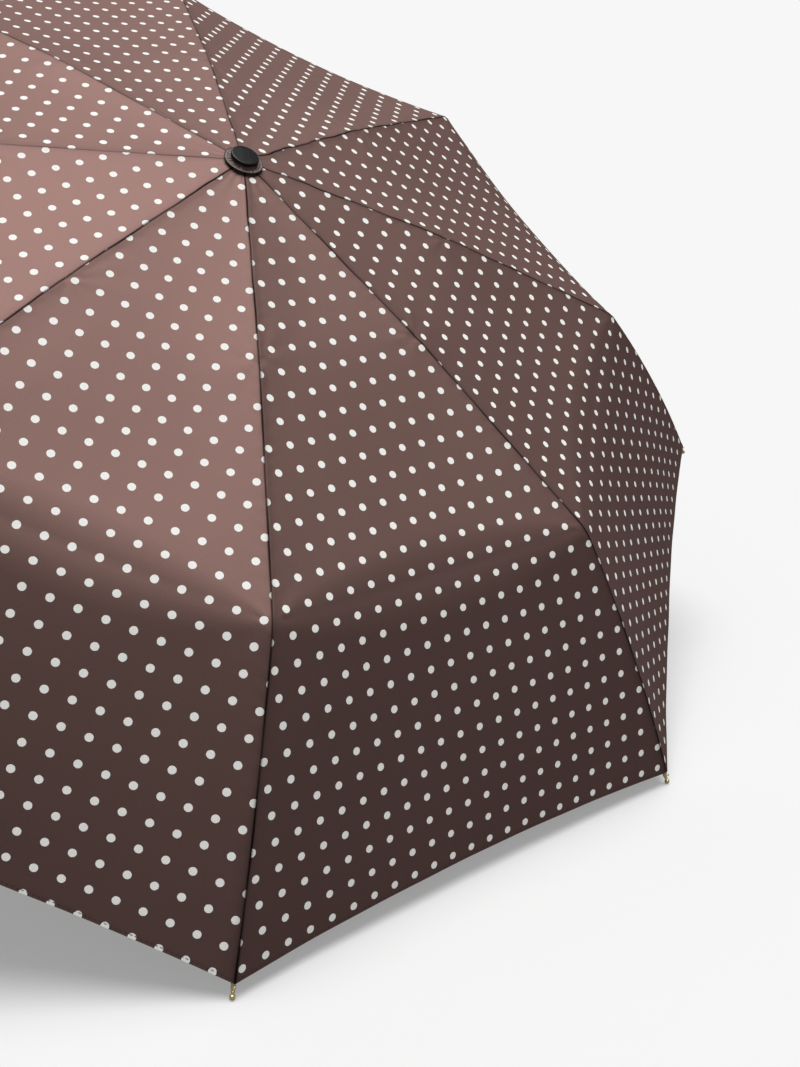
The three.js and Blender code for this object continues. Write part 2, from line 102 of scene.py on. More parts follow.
@dataclass
class Placement:
    """Where the umbrella's own frame lies: X across, Y away, Z up the shaft, origin in the crown's plane.

    Attributes:
        to_row: the matrix from the umbrella's frame to the frame of the whole object.
        crown_radius: how far the ribs' first hinges lie from the shaft's axis.
    """

    to_row: Matrix = field(default_factory=Matrix)
    crown_radius: float = 0.0

    @classmethod
    def from_joints(cls) -> "Placement":
        """Reads the axes from the ribs' first hinges and the runner's slide.

        Returns:
            The placement.
        """
        hinges = [Vector(joint(f"top_rib_fold_{n}")["pos_m"]) for n in range(1, RIBS + 1)]
        hub = sum(hinges, Vector()) / RIBS
        shaft = -Vector(joint("runner_slide")["axis"]).normalized()
        across = (hinges[1] - hinges[0]).normalized()
        away = shaft.cross(across)
        turn = Matrix((across, away, shaft)).transposed().to_4x4()
        return cls(Matrix.Translation(hub) @ turn, (hinges[0] - hub).length)

    def place(self, points: np.ndarray) -> np.ndarray:
        """Points of the umbrella's frame, as points of the whole object's frame."""
        turn = np.array(self.to_row.to_3x3())
        return points @ turn.T + np.array(self.to_row.translation)

    def span(self, node: str) -> tuple:
        """How far a CAD node reaches along the shaft and from it.

        Args:
            node: the node's name.

        Returns:
            Its lowest height, its highest height and its greatest radius.
        """
        inverse = self.to_row.inverted()
        local = [inverse @ vertex.co for vertex in frame["nodes"][node].data.vertices]
        heights = [point.z for point in local]
        return min(heights), max(heights), max(math.hypot(point.x, point.y) for point in local)

    def rib_matrix(self, number: int, radius: float, height: float, slope: float) -> Matrix:
        """A frame on a rib: X along it at `slope` below the level, Y tangential, Z to its fabric side.

        Args:
            number: the rib, counted from 1.
            radius: the frame's distance from the shaft's axis.
            height: the frame's height over the crown's plane.
            slope: the slope in radians.

        Returns:
            The matrix from that frame to the whole object's frame.
        """
        turn = Matrix.Rotation(rib_azimuth(number), 4, "Z") @ Matrix.Rotation(slope, 4, "Y")
        point = Matrix.Rotation(rib_azimuth(number), 4, "Z") @ Vector((radius, 0, height))
        return self.to_row @ Matrix.Translation(point) @ turn


@dataclass(frozen=True)
class RibLine:
    """The line of one open rib in the plane of radius and height, as straight sections between hinges."""

    top_length: float = 152 * MM
    top_slope: float = math.radians(9.9)
    middle_length: float = 168 * MM
    middle_slope: float = math.radians(13.6)
    outer_length: float = 199 * MM
    outer_slope: float = math.radians(40.4)
    outer_bow: float = 4 * MM
    hinge_offset: float = 1.9 * MM
    channel_height: float = 3 * MM

    def top(self, start: float, x: float, z: float) -> np.ndarray:
        """The point [radius, height] at [x, z] of the top section, which starts at radius `start`."""
        return np.array([start, 0.0]) + self._turn(self.top_slope, x, z)

    def middle(self, start: float, x: float, z: float) -> np.ndarray:
        """The point [radius, height] at [x, z] of the middle section."""
        return self.top(start, self.top_length, self.hinge_offset) + self._turn(self.middle_slope, x, z)

    def outer(self, start: float, x: float, z: float) -> np.ndarray:
        """The point [radius, height] at [x, z] of the outer section."""
        hinge = self.middle(start, self.middle_length, -2 * self.hinge_offset)
        return hinge + self._turn(self.outer_slope, x, z)

    @staticmethod
    def _turn(slope: float, x: float, z: float) -> np.ndarray:
        """A step of x along a slope and z square to it."""
        return np.array([x * math.cos(slope) + z * math.sin(slope), z * math.cos(slope) - x * math.sin(slope)])


# ---------------------------------------------------------------- meshes


def new_object(name: str, points: np.ndarray, faces: list, edges: tuple = ()) -> bpy.types.Object:
    """A mesh object at the origin from points and faces.

    Args:
        name: the piece's name.
        points: its points in the whole object's frame, in metres.
        faces: its faces as lists of point numbers.
        edges: its loose edges as pairs of point numbers.

    Returns:
        The new object.
    """
    mesh = bpy.data.meshes.new(name)
    mesh.from_pydata([tuple(point) for point in points], edges, faces)
    mesh.update()
    piece = bpy.data.objects.new(name, mesh)
    bpy.context.scene.collection.objects.link(piece)
    return piece


def select_only(piece: bpy.types.Object) -> None:
    """Makes a piece the only selected and the active object.

    Args:
        piece: the piece.
    """
    bpy.ops.object.select_all(action="DESELECT")
    piece.select_set(True)
    bpy.context.view_layer.objects.active = piece


def smooth_by_angle(piece: bpy.types.Object, degrees: float = 35) -> None:
    """Shades a piece smooth, but for edges sharper than an angle."""
    select_only(piece)
    bpy.ops.object.shade_smooth_by_angle(angle=math.radians(degrees))


def apply_modifiers(piece: bpy.types.Object) -> None:
    """Applies all of a piece's modifiers in order.

    Args:
        piece: the piece.
    """
    select_only(piece)
    for modifier in list(piece.modifiers):
        bpy.ops.object.modifier_apply(modifier=modifier.name)


def turned(name: str, profile: list, place: Matrix, segments: int = 64) -> bpy.types.Object:
    """A piece turned about the Z axis of a frame, as on a lathe.

    Args:
        name: the piece's name.
        profile: its [radius, height] points; a piece without a bore starts and ends on the axis.
        place: the frame's matrix.
        segments: how many flats the turning has.

    Returns:
        The new object, with its place in its mesh.
    """
    points = np.array([[radius, 0.0, height] for radius, height in profile])
    edges = [(i, i + 1) for i in range(len(profile) - 1)]
    has_bore = profile[0][0] > 0
    if has_bore:
        edges.append((len(profile) - 1, 0))
    piece = new_object(name, points, [], edges)
    select_only(piece)
    bpy.ops.object.mode_set(mode="EDIT")
    bpy.ops.mesh.select_all(action="SELECT")
    bpy.ops.mesh.spin(steps=segments, angle=2 * math.pi, center=(0, 0, 0), axis=(0, 0, 1))
    bpy.ops.mesh.select_all(action="SELECT")
    bpy.ops.mesh.remove_doubles(threshold=1e-6)
    bpy.ops.mesh.normals_make_consistent(inside=False)
    bpy.ops.object.mode_set(mode="OBJECT")
    piece.data.transform(place)
    smooth_by_angle(piece)
    return piece


def ring(name: str, radius: float, thickness: float, segments: tuple, place: Matrix) -> bpy.types.Object:
    """A ring of round section about the Z axis of a frame.

    Args:
        name: the piece's name.
        radius: from its axis to the middle of its section.
        thickness: half its section's width.
        segments: how many flats it has round its axis, and round its section.
        place: the frame's matrix.

    Returns:
        The new object, with its place in its mesh.
    """
    bpy.ops.object.select_all(action="DESELECT")
    bpy.ops.mesh.primitive_torus_add(
        major_radius=radius, minor_radius=thickness, major_segments=segments[0], minor_segments=segments[1],
    )
    piece = bpy.context.active_object
    piece.name = piece.data.name = name
    piece.data.transform(place)
    smooth_by_angle(piece, 60)
    return piece


def face_outwards(piece: bpy.types.Object) -> None:
    """Turns all of a closed piece's faces outwards.

    Args:
        piece: the piece.
    """
    select_only(piece)
    bpy.ops.object.mode_set(mode="EDIT")
    bpy.ops.mesh.select_all(action="SELECT")
    bpy.ops.mesh.normals_make_consistent(inside=False)
    bpy.ops.object.mode_set(mode="OBJECT")


def rounded(radius: float, height: float, edge: float, start: float, end: float, steps: int = 8) -> list:
    """The points of a rounded edge about [radius, height], from one turn in degrees to another."""
    turns = [math.radians(start + (end - start) * i / steps) for i in range(steps + 1)]
    return [[radius + edge * math.cos(turn), height + edge * math.sin(turn)] for turn in turns]


def softened_copy(node: str, name: str, bevel: float) -> bpy.types.Object:
    """A copy of a CAD node with its edges broken, which stands for the node.

    Args:
        node: the node's name.
        name: the new piece's name.
        bevel: the width of the broken edges.

    Returns:
        The new object.
    """
    source = frame["nodes"][node]
    piece = bpy.data.objects.new(name, source.data.copy())
    bpy.context.scene.collection.objects.link(piece)
    piece.data.materials.clear()
    select_only(piece)
    bpy.ops.object.mode_set(mode="EDIT")
    bpy.ops.mesh.select_all(action="SELECT")
    bpy.ops.mesh.remove_doubles(threshold=2e-6)
    bpy.ops.mesh.dissolve_limited(angle_limit=math.radians(0.5))
    bpy.ops.object.mode_set(mode="OBJECT")
    modifier = piece.modifiers.new("broken_edges", "BEVEL")
    modifier.width = bevel
    modifier.segments = 2
    modifier.limit_method = "ANGLE"
    modifier.angle_limit = math.radians(40)
    modifier.use_clamp_overlap = True
    apply_modifiers(piece)
    smooth_by_angle(piece, 50)
    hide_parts(node)
    return piece


def dress(piece: bpy.types.Object, material: bpy.types.Material, body: str) -> bpy.types.Object:
    """Gives a piece its material and slot, and lets it ride on a body.

    Args:
        piece: the piece.
        material: its material.
        body: the CAD body.

    Returns:
        The same piece.
    """
    piece.data.materials.clear()
    piece.data.materials.append(material)
    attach(piece, body)
    log.info("%s rides on %s", piece.name, body)
    return piece


# ---------------------------------------------------------------- materials


class Nodes:
    """A short way of writing a material's node tree."""

    def __init__(self, tree: bpy.types.NodeTree) -> None:
        """Holds the tree that nodes are added to."""
        self.tree = tree

    def add(self, kind: str, **values: object) -> bpy.types.Node:
        """Adds a node, sets its properties, and sets or links its inputs.

        Args:
            kind: the node's type name.
            values: properties by name, or inputs as in_NAME or in_NUMBER, with a value or a socket.

        Returns:
            The new node.
        """
        node = self.tree.nodes.new(kind)
        for key, value in values.items():
            if not key.startswith("in_"):
                setattr(node, key, value)
                continue
            name = key[3:].replace("_", " ")
            self.put(node, int(name) if name.isdigit() else name, value)
        return node

    def put(self, node: bpy.types.Node, name: object, value: object) -> None:
        """Sets one input of a node to a value, or links it to a socket.

        Args:
            node: the node.
            name: the input's name or number.
            value: the value or the socket.
        """
        if isinstance(value, bpy.types.NodeSocket):
            self.tree.links.new(value, node.inputs[name])
        else:
            node.inputs[name].default_value = value

    def math(self, operation: str, *values: object) -> bpy.types.NodeSocket:
        """A Math node's result."""
        inputs = {f"in_{i}": value for i, value in enumerate(values)}
        return self.add("ShaderNodeMath", operation=operation, **inputs).outputs[0]

    def vector(self, operation: str, *values: object) -> bpy.types.Node:
        """A Vector Math node."""
        inputs = {f"in_{i}": value for i, value in enumerate(values)}
        return self.add("ShaderNodeVectorMath", operation=operation, **inputs)

    def mix(self, factor: object, first: object, second: object) -> bpy.types.NodeSocket:
        """Two colours mixed by a factor.

        Args:
            factor: how much of the second colour shows.
            first: the first colour.
            second: the second colour.

        Returns:
            The mix's socket.
        """
        node = self.add("ShaderNodeMix", data_type="RGBA")
        for number, value in ((0, factor), (6, first), (7, second)):
            self.put(node, number, value)
        return node.outputs[2]

    def bump(self, height: bpy.types.NodeSocket, strength: float, depth: float) -> bpy.types.NodeSocket:
        """A normal bent by a height, at a strength and a depth in metres."""
        return self.add("ShaderNodeBump", in_Strength=strength, in_Distance=depth, in_Height=height).outputs[0]

    def ramp(self, value: object, low: float, high: float, to_low: float = 0, to_high: float = 1) -> object:
        """A value mapped smoothly from one range to another.

        Args:
            value: the value.
            low: the low end of its range.
            high: the high end of its range.
            to_low: what the low end becomes.
            to_high: what the high end becomes.

        Returns:
            The new value's socket.
        """
        return self.add(
            "ShaderNodeMapRange", interpolation_type="SMOOTHSTEP", in_0=value,
            in_1=low, in_2=high, in_3=to_low, in_4=to_high,
        ).outputs[0]


def new_group(name: str, inputs: dict, outputs: dict) -> tuple:
    """An empty shader node group with named sockets.

    Args:
        name: the group's name.
        inputs: socket types by name, with a default value each.
        outputs: socket types by name.

    Returns:
        The group, its Nodes writer, its input node and its output node.
    """
    group = bpy.data.node_groups.new(name, "ShaderNodeTree")
    for socket, (kind, value) in inputs.items():
        made = group.interface.new_socket(name=socket, in_out="INPUT", socket_type=kind)
        if value is not None:
            made.default_value = value
    for socket, kind in outputs.items():
        group.interface.new_socket(name=socket, in_out="OUTPUT", socket_type=kind)
    nodes = Nodes(group)
    return group, nodes, nodes.add("NodeGroupInput"), nodes.add("NodeGroupOutput")


def new_material(name: str, colour: tuple) -> tuple:
    """A material with its Principled shader.

    Args:
        name: the material's name.
        colour: its flat colour, for plain previews.

    Returns:
        The material, its Nodes writer and its Principled node.
    """
    material = bpy.data.materials.new(name)
    material.use_nodes = True
    material.diffuse_color = (*colour, 1)
    nodes = Nodes(material.node_tree)
    shader = material.node_tree.nodes["Principled BSDF"]
    return material, nodes, shader


FLOAT, VECTOR = "NodeSocketFloat", "NodeSocketVector"


class PlainWeave:
    """The node group of a plain weave: threads over and under each other, with slubs."""

    def __init__(self) -> None:
        """Builds the group once."""
        group, nodes, given, result = new_group(
            "plain_weave",
            {"Coordinates": (VECTOR, None), "Thread": (FLOAT, 0.3 * MM)},
            {"Height": FLOAT, "Shade": FLOAT},
        )
        scaled = nodes.vector("SCALE", given.outputs["Coordinates"])
        pitch = nodes.math("DIVIDE", math.pi, given.outputs["Thread"])
        group.links.new(pitch, scaled.inputs["Scale"])
        split = nodes.add("ShaderNodeSeparateXYZ", in_0=scaled.outputs[0])
        warp = nodes.math("SINE", split.outputs[0])
        weft = nodes.math("SINE", split.outputs[1])
        over = nodes.math("MULTIPLY", warp, weft)
        slub = nodes.add("ShaderNodeTexNoise", in_Vector=scaled.outputs[0], in_Scale=0.11, in_Detail=2.0)
        height = nodes.math("MULTIPLY_ADD", over, 0.5, slub.outputs[0])
        group.links.new(height, result.inputs["Height"])
        group.links.new(nodes.ramp(slub.outputs[0], 0.3, 0.7), result.inputs["Shade"])
        self.group = group


@dataclass(frozen=True)
class DottedPongee:
    """The canopy's cloth: a satiny brown pongee with a square print of cream dots.

    Attributes:
        brown: the dyed cloth.
        brown_deep: the dyed cloth where it took more dye.
        cream: the printed dots.
        inside: the back of the cloth.
        shadowed: the colour of the painted shade in the gap of a seam and in the fold beside it.
        dot_radius: half a dot's width.
        spacing: the distance between two dots of a row, and between two rows.
        satin: how much of the light the threads throw back as a brown gloss.
        roughness: how broad that gloss is.
    """

    brown: tuple = (0.244, 0.147, 0.131, 1)
    brown_deep: tuple = (0.216, 0.129, 0.114, 1)
    cream: tuple = (0.80, 0.80, 0.77, 1)
    inside: tuple = (0.150, 0.094, 0.082, 1)
    shadowed: tuple = (0.007, 0.005, 0.0045, 1)
    dot_radius: float = 2.42 * MM
    spacing: float = 15.8 * MM
    satin: float = 0.84
    roughness: float = 0.65

    def dots(self, nodes: Nodes, place: object) -> object:
        """The mask of the dots.

        Args:
            nodes: the material's nodes.
            place: the coordinates on the flat cloth.

        Returns:
            A socket that is 1 on a dot and 0 on the cloth.
        """
        wander = nodes.add("ShaderNodeTexNoise", in_Vector=place, in_Scale=900.0, in_Detail=1.0)
        cells = nodes.vector("SCALE", place)
        cells.inputs["Scale"].default_value = 1 / self.spacing
        nearest = nodes.vector("FLOOR", nodes.vector("ADD", cells.outputs[0], (0.5, 0.5, 0.5)).outputs[0])
        offset = nodes.vector("SUBTRACT", cells.outputs[0], nearest.outputs[0])
        length = nodes.vector("LENGTH", nodes.vector("MULTIPLY", offset.outputs[0], (1, 1, 0)).outputs[0])
        distance = nodes.math("MULTIPLY", length.outputs["Value"], self.spacing)
        ragged = nodes.math("MULTIPLY_ADD", wander.outputs[0], 0.3 * MM, distance)
        return nodes.ramp(ragged, self.dot_radius + 0.02 * MM, self.dot_radius + 0.3 * MM, 1, 0)

    def build(self, weave: PlainWeave) -> bpy.types.Material:
        """Builds the material.

        Args:
            weave: the weave's node group.

        Returns:
            The material.
        """
        material, nodes, shader = new_material("dotted_pongee", self.brown[:3])
        place = nodes.add("ShaderNodeUVMap", uv_map="cloth").outputs[0]
        dots = self.dots(nodes, place)
        threads = nodes.add("ShaderNodeGroup", node_tree=weave.group, in_Coordinates=place, in_Thread=0.36 * MM)
        dye = nodes.add("ShaderNodeTexNoise", in_Vector=place, in_Scale=28.0, in_Detail=4.0)
        shade = nodes.math("MULTIPLY_ADD", threads.outputs["Shade"], 0.5, nodes.math("MULTIPLY", dye.outputs[0], 0.5))
        cloth = nodes.mix(shade, self.brown_deep, self.brown)
        ink = nodes.mix(nodes.ramp(threads.outputs["Shade"], 0, 1, 0, 0.08), self.cream, self.brown)
        # painted shade: the seams' gaps and the folds beside them are darkened towards the shadowed colour
        gap = nodes.add("ShaderNodeAttribute", attribute_name="seam_gap").outputs["Fac"]
        front = nodes.mix(gap, nodes.mix(dots, cloth, ink), self.shadowed)
        back = nodes.mix(nodes.math("MULTIPLY", dots, 0.3), self.inside, self.cream)
        behind = nodes.add("ShaderNodeNewGeometry").outputs["Backfacing"]
        nodes.put(shader, "Base Color", nodes.mix(behind, front, back))
        rough = nodes.ramp(dots, 0, 1, self.roughness, 0.7)
        nodes.put(shader, "Roughness", rough)
        dull = nodes.math("MAXIMUM", dots, behind)
        nodes.put(shader, "Metallic", nodes.ramp(dull, 0, 1, self.satin, 0))
        nodes.put(shader, "Specular IOR Level", 0.12)
        nodes.put(shader, "Normal", nodes.bump(threads.outputs["Height"], 0.35, 0.08 * MM))
        return material


@dataclass(frozen=True)
class PlainCloth:
    """Undotted cloth of the trim, on Object coordinates."""

    name: str
    colour: tuple
    deep: tuple
    roughness: float = 0.6
    thread: float = 0.4 * MM

    def build(self, weave: PlainWeave) -> bpy.types.Material:
        """Builds the material from the weave's node group.

        Args:
            weave: the weave's node group.

        Returns:
            The material.
        """
        material, nodes, shader = new_material(self.name, self.colour[:3])
        place = nodes.add("ShaderNodeTexCoord").outputs["Object"]
        threads = nodes.add("ShaderNodeGroup", node_tree=weave.group, in_Coordinates=place, in_Thread=self.thread)
        cloth = nodes.mix(threads.outputs["Shade"], self.deep, self.colour)
        nodes.put(shader, "Base Color", cloth)
        nodes.put(shader, "Roughness", self.roughness)
        nodes.put(shader, "Sheen Weight", 0.15)
        nodes.put(shader, "Normal", nodes.bump(threads.outputs["Height"], 0.4, 0.1 * MM))
        return material


@dataclass(frozen=True)
class Moulded:
    """A moulded or painted finish with a fine grain and slightly uneven gloss."""

    name: str
    colour: tuple
    scuffed: tuple
    roughness: float
    metallic: float = 0.0
    grain: float = 2600.0
    grain_depth: float = 0.06 * MM
    specular: float = 0.5
    coat: float = 0.0

    def build(self) -> bpy.types.Material:
        """Builds the material.

        Returns:
            The material.
        """
        material, nodes, shader = new_material(self.name, self.colour[:3])
        place = nodes.add("ShaderNodeTexCoord").outputs["Object"]
        grain = nodes.add("ShaderNodeTexNoise", in_Vector=place, in_Scale=self.grain, in_Detail=3.0)
        cloud = nodes.add("ShaderNodeTexNoise", in_Vector=place, in_Scale=90.0, in_Detail=3.0)
        worn = nodes.ramp(cloud.outputs[0], 0.35, 0.75)
        nodes.put(shader, "Base Color", nodes.mix(worn, self.colour, self.scuffed))
        rough = nodes.ramp(worn, 0, 1, self.roughness, min(1, self.roughness + 0.12))
        nodes.put(shader, "Roughness", rough)
        nodes.put(shader, "Metallic", self.metallic)
        nodes.put(shader, "Specular IOR Level", self.specular)
        nodes.put(shader, "Coat Weight", self.coat)
        nodes.put(shader, "Normal", nodes.bump(grain.outputs[0], 0.5, self.grain_depth))
        return material


@dataclass(frozen=True)
class DrawnMetal:
    """Bright metal with fine draw marks and a little tarnish.

    Attributes:
        name: the material's name.
        colour: the clean metal.
        tarnish: the dull metal.
        roughness: the clean metal's roughness.
        metallic: how much of it is bare, and not lacquered.
        stretch: the scale of the marks along X, Y and Z.
    """

    name: str
    colour: tuple
    tarnish: tuple
    roughness: float
    metallic: float = 1.0
    stretch: tuple = (3000.0, 3000.0, 3000.0)

    def build(self) -> bpy.types.Material:
        """Builds the material.

        Returns:
            The material.
        """
        material, nodes, shader = new_material(self.name, self.colour[:3])
        place = nodes.add("ShaderNodeTexCoord").outputs["Object"]
        mapping = nodes.add("ShaderNodeMapping", in_Vector=place, in_Scale=self.stretch)
        marks = nodes.add("ShaderNodeTexNoise", in_Vector=mapping.outputs[0], in_Scale=1.0, in_Detail=3.0)
        cloud = nodes.add("ShaderNodeTexNoise", in_Vector=place, in_Scale=160.0, in_Detail=4.0)
        dull = nodes.ramp(cloud.outputs[0], 0.4, 0.8)
        nodes.put(shader, "Base Color", nodes.mix(dull, self.colour, self.tarnish))
        rough = nodes.math("MULTIPLY_ADD", marks.outputs[0], 0.14, self.roughness - 0.05)
        nodes.put(shader, "Roughness", rough)
        nodes.put(shader, "Metallic", self.metallic)
        nodes.put(shader, "Normal", nodes.bump(marks.outputs[0], 0.2, 0.02 * MM))
        return material


class Wardrobe:
    """All of the umbrella's materials, each built once."""

    def __init__(self) -> None:
        """Builds the materials."""
        weave = PlainWeave()
        self.canopy = DottedPongee().build(weave)
        self.trim = PlainCloth("brown_trim", (0.215, 0.132, 0.117, 1), (0.165, 0.100, 0.088, 1)).build(weave)
        self.thread = PlainCloth("dark_thread", (0.016, 0.011, 0.010, 1), (0.010, 0.007, 0.006, 1)).build(weave)
        self.plastic = Moulded(
            "black_plastic", (0.012, 0.0125, 0.014, 1), (0.022, 0.022, 0.024, 1), 0.42, grain=4200.0,
        ).build()
        self.cap = Moulded(
            "grained_cap", (0.004, 0.0042, 0.0045, 1), (0.010, 0.0105, 0.011, 1), 0.4, grain=620.0,
            grain_depth=0.5 * MM, specular=0.14,
        ).build()
        self.rim = Moulded(
            "polished_rim", (0.006, 0.006, 0.0065, 1), (0.010, 0.010, 0.011, 1), 0.2, grain_depth=0.01 * MM,
            specular=1.0,
        ).build()
        self.grip = Moulded(
            "black_grip", (0.014, 0.0145, 0.016, 1), (0.022, 0.022, 0.023, 1), 0.55, grain=1800.0,
            grain_depth=0.1 * MM,
        ).build()
        self.black_steel = Moulded(
            "black_steel", (0.016, 0.016, 0.018, 1), (0.035, 0.035, 0.037, 1), 0.3, metallic=0.6,
            grain=1500.0, grain_depth=0.03 * MM, coat=0.3,
        ).build()
        self.tube = DrawnMetal("tube_steel", (0.62, 0.63, 0.65, 1), (0.48, 0.48, 0.49, 1), 0.24).build()
        self.wire = DrawnMetal("wire_steel", (0.55, 0.56, 0.58, 1), (0.40, 0.40, 0.41, 1), 0.3).build()
        self.brass = DrawnMetal(
            "brass", (1.0, 0.80, 0.43, 1), (0.92, 0.70, 0.34, 1), 0.24, metallic=0.72,
        ).build()


# ---------------------------------------------------------------- canopy


def unit(vectors: np.ndarray) -> np.ndarray:
    """Vectors brought to a length of one."""
    return vectors / np.linalg.norm(vectors, axis=-1, keepdims=True)


def bump_at(distance: np.ndarray, width: float) -> np.ndarray:
    """A soft bump that is 1 at no distance and fades over a width."""
    return np.exp(-((distance / width) ** 2))


def smoothstep(low: float, high: float, value: np.ndarray) -> np.ndarray:
    """A smooth rise from 0 at `low` to 1 at `high`."""
    share = np.clip((value - low) / (high - low), 0, 1)
    return share * share * (3 - 2 * share)


@dataclass
class Canopy:
    """Eight gores of one taut sheet, each cut at the knees and down its middle so that it can fold.

    Attributes:
        placement: the umbrella's axes.
        line: the line of a rib.
        hole: the radius of the hole around the shaft.
        lift: how high the cloth's face lies over a rib's hinge line near the crown.
        tip_lift: the same at the rib's tip.
        tip_inset: how far short of the rib's end the cloth ends.
        sag: how far a gore's middle lies in from the straight line between two ribs, at the knees and hem.
        knee_round: how far to each side of a knee the cloth turns, over a rib and in a gore's middle.
        hem_inset: how far the middle of the hem is drawn back from its corners.
        hem_width: the width of the folded hem.
        print_turn: how far each gore's print is turned from its middle line, in degrees.
        print_start: where a dot lies on each gore: across its middle line, and along it from the hole.
        seam_waver: how far the seam over each rib wavers near the crown.
        seam_shade_strength: how strongly painted shade darkens the gap and fold of the seam over each rib, from 0 to
            1.
        keep: how much of each section's width is left when the umbrella is folded; not used.
    """

    placement: Placement
    line: RibLine = RibLine()
    hole: float = 7.0 * MM
    lift: float = 4.4 * MM
    tip_lift: float = 2.5 * MM
    tip_inset: float = 2.5 * MM
    sag: tuple = (2.5 * MM, 5.0 * MM, 4.0 * MM)
    knee_round: tuple = (4 * MM, 30 * MM)
    hem_inset: float = 6.0 * MM
    hem_width: float = 2.8 * MM
    print_turn: tuple = (0.1, -1.1, 2.4, -0.7, 0.1, -2.4, 0.3, -0.4)
    print_start: tuple = (
        (-1.8 * MM, 325.7 * MM), (-4.8 * MM, 321.6 * MM), (-3.3 * MM, 211.0 * MM), (-4.6 * MM, 195.2 * MM),
        (-1.5 * MM, 191.1 * MM), (-6.7 * MM, 113.0 * MM), (2.6 * MM, 110.8 * MM), (39.6 * MM, 268.7 * MM),
    )
    seam_waver: tuple = (0.2 * MM, 0.35 * MM, 0.6 * MM, 0.85 * MM, 0.3 * MM, 0.2 * MM, 0.2 * MM, 0.3 * MM)
    # how strongly painted shade darkens each rib's seam gap and the fold beside it
    seam_shade_strength: tuple = (0.92, 0.96, 1.0, 1.0, 0.7, 0.75, 0.45, 0.95)
    keep: tuple = (0.11, 0.055, 0.04)
    near_seam: tuple = (0.4 * MM, 0.8 * MM, 1.3 * MM, 2.0 * MM, 3.0 * MM, 4.4 * MM)
    columns: int = 30
    row_step: float = 3.0 * MM

    def __post_init__(self) -> None:
        """Works out the corners of the cloth's line over a rib, and its lengths."""
        line, start = self.line, self.placement.crown_radius
        offset = line.hinge_offset
        hub = line.top(start, self.hole - start, self.lift)
        knee_in = self._meet(
            hub, line.top(start, line.top_length, self.lift),
            line.middle(start, 0, self.lift - offset), line.middle(start, line.middle_length, self.lift - offset),
        )
        end = line.outer_length - self.tip_inset
        tip = line.outer(start, end, offset + self.tip_lift)
        knee_out = self._meet(
            knee_in, line.middle(start, line.middle_length, self.lift - offset),
            line.outer(start, 0, offset + self.lift), tip,
        )
        self.corners = np.array([hub, knee_in, knee_out, tip])
        steps = np.linalg.norm(np.diff(self.corners, axis=0), axis=1)
        self.marks = np.concatenate([[0.0], np.cumsum(steps)])
        chords = self.corners * [math.cos(HALF_GORE), 1.0]
        self.flat_marks = np.concatenate([[0.0], np.cumsum(np.linalg.norm(np.diff(chords, axis=0), axis=1))])

    @staticmethod
    def _meet(a: np.ndarray, b: np.ndarray, c: np.ndarray, d: np.ndarray) -> np.ndarray:
        """The point where the line through a and b meets the line through c and d."""
        share = np.linalg.solve(np.array([b - a, c - d]).T, c - a)[0]
        return a + share * (b - a)

    # the smooth sheet

    def half_width(self, along: np.ndarray) -> np.ndarray:
        """Half a gore's width, straight across, at a distance from the hole."""
        return np.interp(along, self.marks, self.corners[:, 0]) * math.sin(HALF_GORE)

    @staticmethod
    def _nearest_rib(gore: int, across: np.ndarray) -> np.ndarray:
        """Which rib, counted from 0, a point of a gore lies nearest to."""
        return np.where(across > 0, gore + 1, gore) % RIBS

    def _profile(self, along: np.ndarray, soft: np.ndarray) -> np.ndarray:
        """The cloth's line over a rib, with its knees rounded.

        Args:
            along: the distance from the hole.
            soft: 0 over a rib to 1 in a gore's middle.

        Returns:
            The [radius, height] points.
        """
        marks, corners = self.marks, self.corners
        courses = np.diff(corners, axis=0) / np.diff(marks)[:, None]
        section = np.clip(np.searchsorted(marks, along) - 1, 0, len(Section) - 1)
        points = corners[section] + (along - marks[section])[..., None] * courses[section]
        for number in (1, 2):
            reach = self.knee_round[0] + (self.knee_round[1] - self.knee_round[0]) * soft
            step = along - marks[number]
            share = np.clip((step + reach) / (2 * reach), 0, 1)
            before = ((1 - share) ** 2 * -reach)[..., None] * courses[number - 1]
            curve = before + (share**2 * reach)[..., None] * courses[number]
            near = (np.abs(step) < reach)[..., None]
            points = np.where(near, corners[number] + curve, points)
        share = np.clip((along - marks[2]) / (marks[3] - marks[2]), 0, 1)
        normal = np.array([-courses[2][1], courses[2][0]])
        return points + (4 * self.line.outer_bow * share * (1 - share))[..., None] * normal

    def _sheet(self, across: np.ndarray, along: np.ndarray) -> np.ndarray:
        """The plain sheet of a gore whose middle lies along +X.

        Args:
            across: -1 at the left rib to 1 at the right one.
            along: the distance from the hole, over a rib.

        Returns:
            The points in the umbrella's frame.
        """
        hollow = 1 - across**2
        outer = np.clip((along - self.marks[2]) / (self.marks[3] - self.marks[2]), 0, None)
        pulled = along - self.hem_inset * hollow * outer**2
        points = self._profile(pulled, hollow)
        ahead = self._profile(pulled + 1 * MM, hollow)
        tangent = unit(ahead - points)
        sag = np.interp(along, self.marks, (0.0, *self.sag)) * hollow
        radius = points[..., 0] + tangent[..., 1] * sag
        height = points[..., 1] - tangent[..., 0] * sag
        flat_radius = points[..., 0]
        return np.stack(
            [
                flat_radius * math.cos(HALF_GORE) + (radius - flat_radius),
                across * flat_radius * math.sin(HALF_GORE),
                height,
            ],
            axis=-1,
        )

    def _relief(self, gore: int, across: np.ndarray, along: np.ndarray) -> np.ndarray:
        """How high the cloth stands over the plain sheet: seams, puckers, tucks and tension folds.

        Args:
            gore: the gore, counted from 0.
            across: -1 at the left rib to 1 at the right one.
            along: the distance from the hole, over a rib.

        Returns:
            The heights in metres.
        """
        half = self.half_width(along)
        distance = (1 - np.abs(across)) * half
        rib = self._nearest_rib(gore, across)
        waves = np.random.default_rng(31 + gore).uniform(0, 2 * math.pi, 12)
        rib_waves = np.random.default_rng(71).uniform(0, 2 * math.pi, RIBS)[rib]

